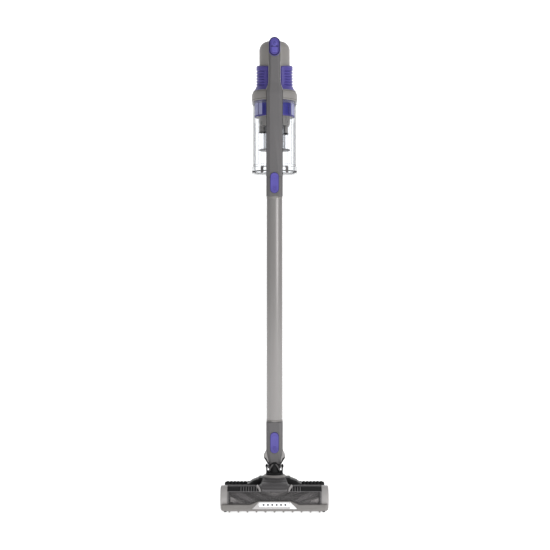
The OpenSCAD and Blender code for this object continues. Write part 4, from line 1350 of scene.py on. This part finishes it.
def deck():
    """Black rear body: curved over the brush, low behind it, with a scalloped ridge at the back."""
    back = deck_rear
    half = span("brush_window")[1].x + 0.6
    skin = [chamber(skin_radius, a) for a in range(143, 85, -4)]
    outside = [chamber(28.4, 143)] + skin + [
        (roll.y + 22, 55), (axis_y - 18, 51.0), (axis_y + 6, 47.5), (back - 10, 46.5), (back - 5.5, 47),
        (back - 4.6, 49), (back - 2.6, 50.5), (back - 0.4, 49), (back, 44), (back, 30), (back - 1.5, 9),
        (back - 3, 7.3), (chamber(skin_radius, 0)[0] - 6, 7.3)
    ]
    inside = [chamber(28.4, a) for a in range(-52, 143, 5)]
    shell = make_object("deck_shell", *prism(outside + inside, "x", -half, half), deck_black, 30)
    for side in (-1, 1):
        cut(shell, slab((side * wheel_x - 9, axis_y + 13, 0), (side * wheel_x + 9, axis_y + 45.5, 36)))
    cut(shell, lathe([(15.4, 20), (15.4, 90)], (0, axis_y), 64))
    cut(shell, slab((-20, roll.y + 20, 15), (20, axis_y + 13, 37)))
    for side, count in louvre_counts:
        for i in range(count):
            x = side * (40 + i * louvre_pitch)
            slot = loft(
                [
                    [
                        (x + dx, *chamber(r, a))
                        for dx, r in ((-1.3, 29.0), (1.3, 29.0), (1.3, 31.5), (-1.3, 31.5))
                    ]
                    for a in (114, 121, 128, 135, 140)
                ]
            )
            cut(shell, slot)
    fit(bevelled(shell, 0.6), "head", "black_plastic", "head_shell")
    ridge = []
    steps = 464
    for i in range(steps + 1):
        x = -ridge_half + 2 * ridge_half * i / steps
        wave = 0.5 + 0.5 * math.cos(2 * math.pi * x / 8.6)
        crown = 53.9 - 1.9 * wave**3
        end = ease((ridge_half - abs(x)) / 3)
        y0, y1 = back - 6.2 + 1.0 * wave, back - 0.2
        z0 = 30 if abs(x) < half else 34
        crown = z0 + (crown - z0) * (0.75 + 0.25 * end)
        ridge.append(
            [
                (x, y0, z0), (x, y0, crown - 2.2), (x, y0 + 1.3, crown - 0.4), (x, (y0 + y1) / 2, crown),
                (x, y1 - 1.0, crown - 0.8), (x, y1, crown - 3.2), (x, y1, z0)
            ]
        )
    add("deck_ridge", loft(ridge), deck_black, "head", "black_plastic", angle=40)
    for side, word in SIDES:
        outline = [
            (axis_y + 18.5, 8), (back - 3, 8), (back - 0.6, 30), (back - 1, 44), (back - 6, 49),
            (axis_y + 24, 44), (axis_y + 18.5, 36)
        ]
        x0, x1 = sorted((side * (half - 0.4), side * 124.2))
        add(
            f"deck_cheek_{word}", prism(outline, "x", x0, x1), deck_black, "head", "black_plastic",
            bevel=2.0, segments=4
        )
        rings = []
        for share in range(13):
            x = 22 + 45 * share / 12
            crown = 71.6 - 4.6 * ease((x - 37.5) / 4.5) - 3.2 * ease((x - 42) / 10) - 9.5 * ease(
                (x - 50) / 17
            )
            floor_z = 50
            front_y, rear_y = axis_y - 17 + share * 0.7, axis_y + 27 + share * 0.8
            rings.append(
                [
                    (side * x, front_y, floor_z), (side * x, front_y + 1, crown - 5),
                    (side * x, front_y + 5, crown - 0.8), (side * x, front_y + 9, crown),
                    (side * x, rear_y - 9, crown), (side * x, rear_y - 3, crown - 2),
                    (side * x, rear_y, crown - 8), (side * x, rear_y, floor_z - 2)
                ]
            )
        add(f"deck_shoulder_{word}", loft(rings), deck_black, "head", "black_plastic", angle=30, bevel=0.6)
    ribs = []
    for side, count in louvre_counts:
        for i in range(count):
            x = side * (37 + i * louvre_pitch)
            ribs.append(
                loft(
                    [
                        [
                            (x + dx, *chamber(r, a))
                            for dx, r in ((-1.0, 29.9), (1.0, 29.9), (0.7, 30.6), (-0.7, 30.6))
                        ]
                        for a in range(113, 142, 4)
                    ]
                )
            )
    # Two raised strips along the top of the brush chamber, lighter grey than the black deck: real ridges, and
    # their lighter grey is a painted highlight line.
    for side in (-1, 1):
        for radius_out, a0, a1, x0, x1 in ((30.75, 99, 102, 46, half - 1), (30.6, 108, 109.5, 42, half - 1)):
            highlight_strip = [
                [
                    (side * x, *chamber(r, a))
                    for r, a in ((29.8, a0), (radius_out, a0), (radius_out, a1), (29.8, a1))
                ]
                for x in (x0, x1)
            ]
            ribs.append(loft(highlight_strip))
    add("deck_ribs", merged(*ribs), spine_grey, "head", "dark_grey")
    painted_shadow = [
        chamber(r, a)
        for r, a in [(29.9, a) for a in range(204, 232, 4)] + [(28.3, a) for a in range(228, 202, -4)]
    ]
    add("deck_front_foot", prism(painted_shadow, "x", -half, half), deck_black, "head", "black_plastic")


def window():
    half = span("brush_window")[1].x
    rings = []
    for x in (-half, half):
        ring = [(x, *chamber(skin_radius, a)) for a in range(window_top, window_foot + 1, 4)]
        ring += [(x, *chamber(28.3, a)) for a in range(window_foot, window_top - 1, -4)]
        rings.append(ring)
    add("window_shell", loft(rings), window_smoke, "head", "smoked_window", "brush_window", angle=30)
    frames = []
    for side in (-1, 1):
        x0, x1 = sorted((side * (half - 3.4), side * (half - 0.2)))
        ring = [
            [(x, *chamber(30.35, a)) for a in range(window_top, window_foot + 1, 4)]
            + [(x, *chamber(29.9, a)) for a in range(window_foot, window_top - 1, -4)]
            for x in (x0, x1)
        ]
        frames.append(loft(ring))
    top_edge = loft(
        [
            [(x, *chamber(r, a)) for r, a in ((29.9, 141.5), (30.5, 141.5), (30.5, 144.5), (29.9, 144.5))]
            for x in (-half, half)
        ]
    )
    low_edge = loft(
        [
            [(x, *chamber(r, a)) for r, a in ((29.9, 197), (30.4, 197), (30.4, 199), (29.9, 199))]
            for x in (-half, half)
        ]
    )
    add("window_frame", merged(*frames, top_edge, low_edge), spine_grey, "head", "dark_grey")


def center_cover():
    def seat(y):
        reach = y - roll.y
        return max(roll.z + math.sqrt(max((skin_radius + 0.3) ** 2 - reach**2, 0)), 52.0 if reach > 6 else 0)

    stations = [
        (roll.y - 25.0, 51.4, 28.5), (roll.y - 24.2, 53.2, 30.0), (roll.y - 21.5, 56.6, 31.4),
        (roll.y - 15, 61.4, 32.0), (roll.y - 14.4, 61.0, 32.0), (roll.y - 13.6, 61.4, 32.0),
        (roll.y - 8, 64.4, 32.2), (roll.y, 65.6, 32.2), (roll.y + 9, 66.0, 32.0), (roll.y + 10, 65.2, 31.9),
        (roll.y + 11, 66.0, 31.8), (roll.y + 17, 66.2, 31.2), (roll.y + 19, 68.0, 30.8),
        (roll.y + 26, 68.3, 30.2), (roll.y + 28, 70.0, 29.6), (roll.y + 34, 70.3, 29.0),
        (roll.y + 36.5, 71.8, 28.4), (axis_y + 22, 71.8, 28.0), (axis_y + 26, 70.0, 27.6),
        (axis_y + 30, 65.5, 27.0), (axis_y + 30.4, 56, 27.0),
    ]
    rings = []
    for y, top, half in stations:
        low = min(seat(y), top - 1.4)
        flare = 3.6 if y > roll.y - 20 else 1.2
        side = [
            (half + flare, low), (half + flare, low + 0.7), (half + 0.6, low + (top - low) * 0.45),
            (half, top - 1.6), (half - 1.1, top - 0.4), (half - 3, top)
        ]
        rings.append([(x, y, z) for x, z in side] + [(-x, y, z) for x, z in reversed(side)])
    cover = make_object("cover_shell", *loft(rings), cover_grey, 24)
    cut(cover, lathe([(15.3, 40), (15.3, 90)], (0, axis_y), 64))
    fit(bevelled(cover, 0.4), "head", "dark_grey", "center_cover")
    lip = []
    for step in range(21):
        x = -30 + 60 * step / 20
        fold = 1.6 * ease((abs(x) - 25) / 5)
        lip.append(
            [
                (x, *chamber(r, a - fold))
                for r, a in ((31.0, 143.5), (34.9, 142.5), (35.3, 139.5), (34.6, 137.5), (31.0, 138))
            ]
        )
    add("cover_lip", loft(lip), spine_grey, "head", "mid_grey", angle=40)
    lines = []
    for y, z, half in ((roll.y - 18.4, 59.3, 28), (roll.y - 11, 63.1, 26.5), (roll.y - 4, 65.35, 28)):
        lines.append(slab((-half, y - 0.45, z - 0.5), (half, y + 0.45, z + 0.35)))
    add("cover_lines", merged(*lines), spine_grey, "head", "dark_grey", bevel=0.2, segments=2)
    for side, word in SIDES:
        rings = []
        for step in range(11):
            a = 96 + 46 * step / 10
            inner = 39.0 - 6.0 * ease(step / 9)
            outer = 44.0 - 7.0 * ease((step - 2) / 8) - 2.5 * (1 - ease((step + 1) / 3))
            rings.append(
                [
                    (side * x, *chamber(r, a))
                    for x, r in ((inner, 29.9), (inner + 0.8, 31.7), (outer - 1.0, 31.7), (outer, 29.9))
                ]
            )
        add(f"cover_tab_{word}", loft(rings), cap_grey, "head", "light_grey", angle=40)


def neck_base():
    low, high = span("neck_base")
    profile = [
        (15.3, low.z), (27.0, low.z), (28, low.z + 1.0), (28, low.z + 3.2), (27.2, low.z + 4.2),
        (25.4, low.z + 4.6), (24.6, high.z - 0.3), (23.6, high.z), (15.3, high.z)
    ]
    add(
        "neck_seat_ring", lathe(profile, (0, axis_y), 96, hollow=True), housing_grey, "head", "mid_grey",
        "neck_base", angle=30
    )
    skirt = []
    for z, half, depth in ((low.z + 0.2, 26.5, 26.5), (low.z - 2.4, 25.0, 25.4), (low.z - 4.6, 22.5, 24.0)):
        skirt.append([(x, axis_y + y, z) for x, y in rounded_rect(half, depth, 12, steps=8)])
    add("neck_seat_skirt", loft(skirt), spine_grey, "head", "dark_grey", bevel=0.3)
    cut(bpy.data.objects["neck_seat_skirt"], lathe([(15.3, 40), (15.3, 90)], (0, axis_y), 64))


def end_cap(side, name):
    """Round-nosed side cap with a rolled outer edge and a sunk face line."""
    inner, outer = head_half - cap_width, head_half
    front_to_back = [chamber(skin_radius, a) for a in range(-88, -270, -6)]
    outline = front_to_back + [
        (axis_y - 20, 51.8), (axis_y - 4, 47.5), (axis_y + 8, 41.5), (axis_y + 14, 32), (axis_y + 16, 22),
        (axis_y + 14.6, 9), (axis_y + 10, 3.4)
    ]
    centre = (roll.y + 6, 29.0)
    rings = []
    for x, shrink in (
        (inner, 1.0), (inner + 1.2, 1.0), (inner + 1.4, 0.988), (inner + 2.2, 0.988), (inner + 2.4, 1.0),
        (outer - 4.5, 1.0), (outer - 2.4, 0.990), (outer - 1.0, 0.965), (outer - 0.25, 0.935),
        (outer, 0.90), (outer - 0.3, 0.86), (outer - 0.3, 0.80), (outer - 0.7, 0.78)
    ):
        rings.append(
            [
                (side * x, centre[0] + (y - centre[0]) * shrink, centre[1] + (z - centre[1]) * shrink)
                for y, z in outline
            ]
        )
    cap = make_object(name + "_shell", *loft(rings), cap_grey, 28)
    pocket = slab((side * roller_x - 3.8, axis_y - 88, -2), (side * roller_x + 3.8, axis_y - 72, 15.6))
    cut(cap, pocket)
    fit(cap, "head", "light_grey", name)


def bumper():
    """Front bumper bar with a raised middle, a rounded top edge and comb teeth below."""
    low, high = 4.4, 19.4
    reach = head_half - 2.6
    rings = []
    steps = 120
    for i in range(steps + 1):
        x = -reach + 2 * reach * i / steps
        rise = 8.6 * min(max((58 - abs(x)) / 20, 0), 1)
        top = high + rise
        turn = 4.2 * ease((abs(x) - (reach - 6)) / 6) ** 2
        front = head_front + turn
        bottom = low + 1.2 * ease((abs(x) - (reach - 4)) / 4)
        inner = roll.y - math.sqrt(max((skin_radius + 0.15) ** 2 - (top - 1 - roll.z) ** 2, 0))
        inner_low = roll.y - math.sqrt(max((skin_radius + 0.15) ** 2 - (low + 3 - roll.z) ** 2, 0))
        if abs(x) > head_half - cap_width - 0.4:
            inner = min(inner, head_front + 6.5)
            inner_low = min(inner_low, head_front + 7.0)
        inner_low = min(inner_low, head_front + 12)
        rings.append(
            [
                (x, inner_low, bottom), (x, front + 1.6, bottom), (x, front + 0.5, bottom + 0.5),
                (x, front, bottom + 1.6), (x, front, top - 2.0), (x, front + 0.4, top - 0.8),
                (x, front + 1.5, top), (x, max(inner, front + 1.8), top),
                (x, max(inner_low, front + 2.4), (top + bottom) / 2),
            ]
        )
    bar = make_object("bumper_bar", *loft(rings), bumper_grey, 32)
    recess = prism(
        [(-54.8, 8.5), (56.3, 8.5), (37.8, 27.0), (-37.8, 27.0)], "y", head_front - 1, head_front + 2.9
    )
    cut(bar, recess)
    for side in (-1, 1):
        cut(bar, slab((side * 81 - 17, head_front - 1, 10.6), (side * 81 + 17, head_front + 0.45, 11.3)))
    fit(bar, "head", "mid_grey", "front_bumper")
    teeth = []
    for i in range(11):
        x = (i - 5) * 21.5
        outline = [
            (x - 2.6, 4.9), (x - 2.3, 2.6), (x - 1.4, 1.2), (x, 0.8), (x + 1.4, 1.2), (x + 2.3, 2.6),
            (x + 2.6, 4.9)
        ]
        teeth.append(prism(outline, "y", head_front + 0.6, head_front + 7.8))
    add("bumper_teeth", merged(*teeth), bumper_grey, "head", "mid_grey", bevel=0.4)


def headlight():
    front = head_front
    outer = [(-54, 8.9), (55.5, 8.9), (37.5, 26.6), (-37.2, 26.6)]
    hole = arc((-33, 19.4), 5.4, 90, 270, 10) + [(33, 14.0), (37.5, 15.0), (35.2, 24.2), (33, 24.8)]
    bezel = make_object("bezel_plate", *prism(outer, "y", front + 0.1, front + 2.8), silver, 30)
    cut(bezel, prism(hole, "y", front - 1, front + 5))
    fit(bevelled(bezel, 0.5, 3), "head", "silver_trim", "headlight_bezel")
    inner = [(x * 0.995, 19.4 + (z - 19.4) * 0.97) for x, z in hole]
    lens = make_object("lens_plate", *prism(inner, "y", front + 0.45, front + 2.3), lens_white, 30)
    dots = []
    for i in range(6):
        x = (i - 2.5) * 10.4
        cut(lens, turned(lathe([(2.3, -1), (2.3, 1.5)], steps=32), "y", (x, front + 0.4, 19.5)))
        dots.append(
            turned(
                lathe([(2.25, -0.9), (2.25, 0.1), (1.4, 0.45), (0, 0.5)], steps=32), "y",
                (x, front + 1.0, 19.5)
            )
        )
    fit(bevelled(lens, 0.25, 2), "head", "lens_white", "headlight_lens")
    add("lens_lamps", merged(*dots), yoke_black, "head", "black_plastic")
    # Thin facet in the glowing lens material on the right end of the bezel: a painted highlight.
    painted_glint = prism([(37, 9.8), (53.6, 9.8), (38.6, 24.6), (37, 24.6)], "y", front, front + 0.4)
    add("bezel_painted_highlight", painted_glint, lens_white, "head", "silver_trim", bevel=0.15, segments=2)


def brush_roll():
    reach = head_half - cap_width - 1.2
    core = turned(
        lathe(
            [
                (4, -reach - 2), (4, -reach), (12.6, -reach), (13, -reach + 1), (13, reach - 1),
                (12.6, reach), (4, reach), (4, reach + 8), (0, reach + 8)
            ],
            steps=96
        ),
        "x", (0, roll.y, roll.z)
    )
    pulley = turned(
        lathe(
            [
                (4, -reach - 4), (4, -reach - 1), (11.2, -reach - 3.5), (11.2, -reach - 11.5),
                (4, -reach - 11.5)
            ],
            steps=64
        ),
        "x", (0, roll.y, roll.z)
    )
    add("roll_core", merged(core, pulley), roll_grey, "brushroll", "dark_grey", "brush_core", angle=30)
    bristle_half = span("brush_bristles")[1].x
    sets = {"pale": [], "dark": [], "purple": []}
    rows, root = 6, 12.8
    for row in range(rows):
        kind = ("pale", "dark", "purple")[row % 3]
        rings = []
        steps = 96
        for i in range(steps + 1):
            x = -bristle_half + 2 * bristle_half * i / steps
            wind = 150 * (1 - math.sqrt((x / bristle_half) ** 2 + 0.004)) + 360 * row / rows
            wobble = 3.2 * math.sin(x * 0.23 + row) + random.uniform(-0.8, 0.8)
            tip = 26.3 + 0.35 * math.sin(x * 1.1 + row * 2) + random.uniform(-0.15, 0.1)
            width_in, width_out = (16, 21) if kind != "dark" else (12, 15)
            ring = []
            for r, da in (
                (root, -width_in), (19, -width_in * 0.8), (tip, -width_out * 0.62), (tip, 0),
                (tip, width_out * 0.62), (19, width_in * 0.8), (root, width_in)
            ):
                angle = math.radians(wind + wobble * (r - root) / 14 + da)
                ring.append((x, roll.y + r * math.cos(angle), roll.z + r * math.sin(angle)))
            rings.append(ring)
        sets[kind].append(loft(rings))
    for kind, material in (("pale", tuft_pale), ("dark", tuft_dark), ("purple", tuft_purple)):
        piece = make_object(f"tufts_{kind}", *merged(*sets[kind]), material, 50)
        if kind == "pale":
            fit(piece, "brushroll", "bristle", "brush_bristles")
        else:
            fit(piece, "brushroll", "bristle")


def running_gear():
    for word in ("left", "right"):
        for name, body, width, radius in (
            (f"wheel_{word}", f"rear_wheel_{word}", 6, 14),
            (f"roller_{word}", f"front_roller_{word}", 3.5, 6)
        ):
            where = middle(name)
            bore = 2.1
            tread = [
                (bore, -width), (radius * 0.55, -width), (radius * 0.6, -width + 0.8),
                (radius * 0.78, -width + 0.8), (radius * 0.82, -width), (radius - 0.8, -width),
                (radius, -width + 0.8)
            ]
            if radius > 8:
                for groove in (-2.4, 0, 2.4):
                    tread += [
                        (radius, groove - 0.5), (radius - 0.5, groove - 0.3), (radius - 0.5, groove + 0.3),
                        (radius, groove + 0.5)
                    ]
            tread += [
                (radius, width - 0.8), (radius - 0.8, width), (radius * 0.82, width),
                (radius * 0.78, width - 0.8), (radius * 0.6, width - 0.8), (radius * 0.55, width),
                (bore, width)
            ]
            add(
                name + "_tread", turned(lathe(tread, steps=64, hollow=True), "x", tuple(where)), rubber,
                body, "rubber_black", name, angle=30
            )


# ---- Finishes of the carried CAD pieces ----


def dress(node, material, bevel=0.0):
    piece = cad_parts[node]
    piece.data.materials.clear()
    piece.data.materials.append(material)
    if bevel:
        bevelled(piece, bevel, 2, 40)


wand()
wand_collar()
spine()
bridges()
grip_bar_details()
button_plate()
press_keys()
motor_dome()
collar()
side_grip(-1, "grip_left")
side_grip(1, "grip_right")
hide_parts("grip_left")
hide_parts("grip_right")
grip_lips()
battery()
cup_release()
dust_cup()
cup_door()
door_latch()
separator()
neck()
yoke()
hose()
deck()
window()
center_cover()
neck_base()
end_cap(-1, "end_cap_left")
end_cap(1, "end_cap_right")
bumper()
headlight()
brush_roll()
running_gear()

for node, material, bevel in (
    ("sole_plate", deck_black, 0.4), ("sole_strip", rubber, 0.4), ("suction_duct", duct_grey, 0.4),
    ("brush_motor", steel, 0.4), ("motor_pulley", roll_grey, 0.0), ("drive_belt", rubber, 0.0),
    ("brush_bearings", steel, 0.0), ("wheel_axles", steel, 0.0), ("head_screws", steel, 0.15),
    ("yoke_pins", steel, 0.2), ("neck_plug", duct_grey, 0.3), ("wand_conduit", rubber, 0.0),
    ("wand_plug", duct_grey, 0.3), ("motor_can", steel, 0.5), ("impeller", fan_metal, 0.0),
    ("control_board", board_green, 0.0), ("exhaust_filter", pleat_paper, 0.0),
    ("motor_filter", filter_foam, 0.0), ("inlet_duct", duct_grey, 0.3), ("door_pin", steel, 0.0),
    ("battery_cells", cell_wrap, 0.4),
):
    dress(node, material, bevel)


# ---- Floor, lights and camera ----


def backdrop():
    """Pale floor that curves up into the wall behind."""
    paint = Paint("studio_paper", Specular_IOR_Level=0.2, Emission_Strength=0.78)
    cloud = paint.noise(3, 4)
    paint.feed("Base Color", paint.mixed(cloud, (0.90, 0.90, 0.90, 1), (0.93, 0.93, 0.93, 1)))
    paint.feed("Emission Color", paint.mixed(cloud, (0.98, 0.98, 0.98, 1), (1.0, 1.0, 1.0, 1)))
    paint.feed("Roughness", 0.85 + cloud * 0.1)
    paint.feed("Normal", paint.bump(paint.noise(300, 3), 0.05, 0.0002))
    near_edge, wall_foot, bend_radius, wall_top, half_width = -7000, 6500, 1500, 9000, 9000
    bend = [
        (
            wall_foot + bend_radius * math.sin(math.radians(a)),
            bend_radius - bend_radius * math.cos(math.radians(a))
        )
        for a in range(6, 91, 6)
    ]
    profile = [(near_edge, 0), (wall_foot, 0)] + bend + [(wall_foot + bend_radius, wall_top)]
    rings = [[(x, y, z) for y, z in profile] for x in (-half_width, half_width)]
    verts = [point for ring in rings for point in ring]
    count = len(profile)
    faces = [(j, j + 1, count + j + 1, count + j) for j in range(count - 1)]
    floor = make_object("studio_floor", verts, faces, paint.material)


def softbox(name, at, aim, width, height, watts, tint=(1, 1, 1)):
    lamp = bpy.data.lights.new(name, "AREA")
    lamp.shape = "RECTANGLE"
    lamp.size = width
    lamp.size_y = height
    lamp.energy = watts
    lamp.color = tint
    holder = bpy.data.objects.new(name, lamp)
    holder.location = at
    holder.rotation_euler = (Vector(aim) - Vector(at)).to_track_quat("-Z", "Y").to_euler()
    bpy.context.scene.collection.objects.link(holder)


def studio():
    backdrop()
    softbox("key_light", (1.7, -2.0, 1.5), (0, 0, 0.6), 0.8, 1.8, 28)
    softbox("fill_light", (-2.4, -2.4, 1.3), (0, 0, 0.55), 1.4, 2.2, 1.5)
    softbox("top_light", (0.2, -0.6, 2.9), (0, 0, 0.5), 1.6, 1.4, 8)
    world = bpy.data.worlds.new("studio_air")
    bpy.context.scene.world = world
    world.use_nodes = True
    world.node_tree.nodes["Background"].inputs["Color"].default_value = (1.0, 1.0, 1.0, 1)
    world.node_tree.nodes["Background"].inputs["Strength"].default_value = 0.29
    lens = bpy.data.cameras.new("front_camera")
    lens.lens = 79.8
    lens.sensor_width = 36
    camera = bpy.data.objects.new("front_camera", lens)
    camera.location = (0.0012, -3.025, 0.568)
    camera.rotation_euler = (math.radians(90), 0, 0)
    bpy.context.scene.collection.objects.link(camera)
    bpy.context.scene.camera = camera
    bpy.context.scene.view_settings.view_transform = "Standard"


studio()
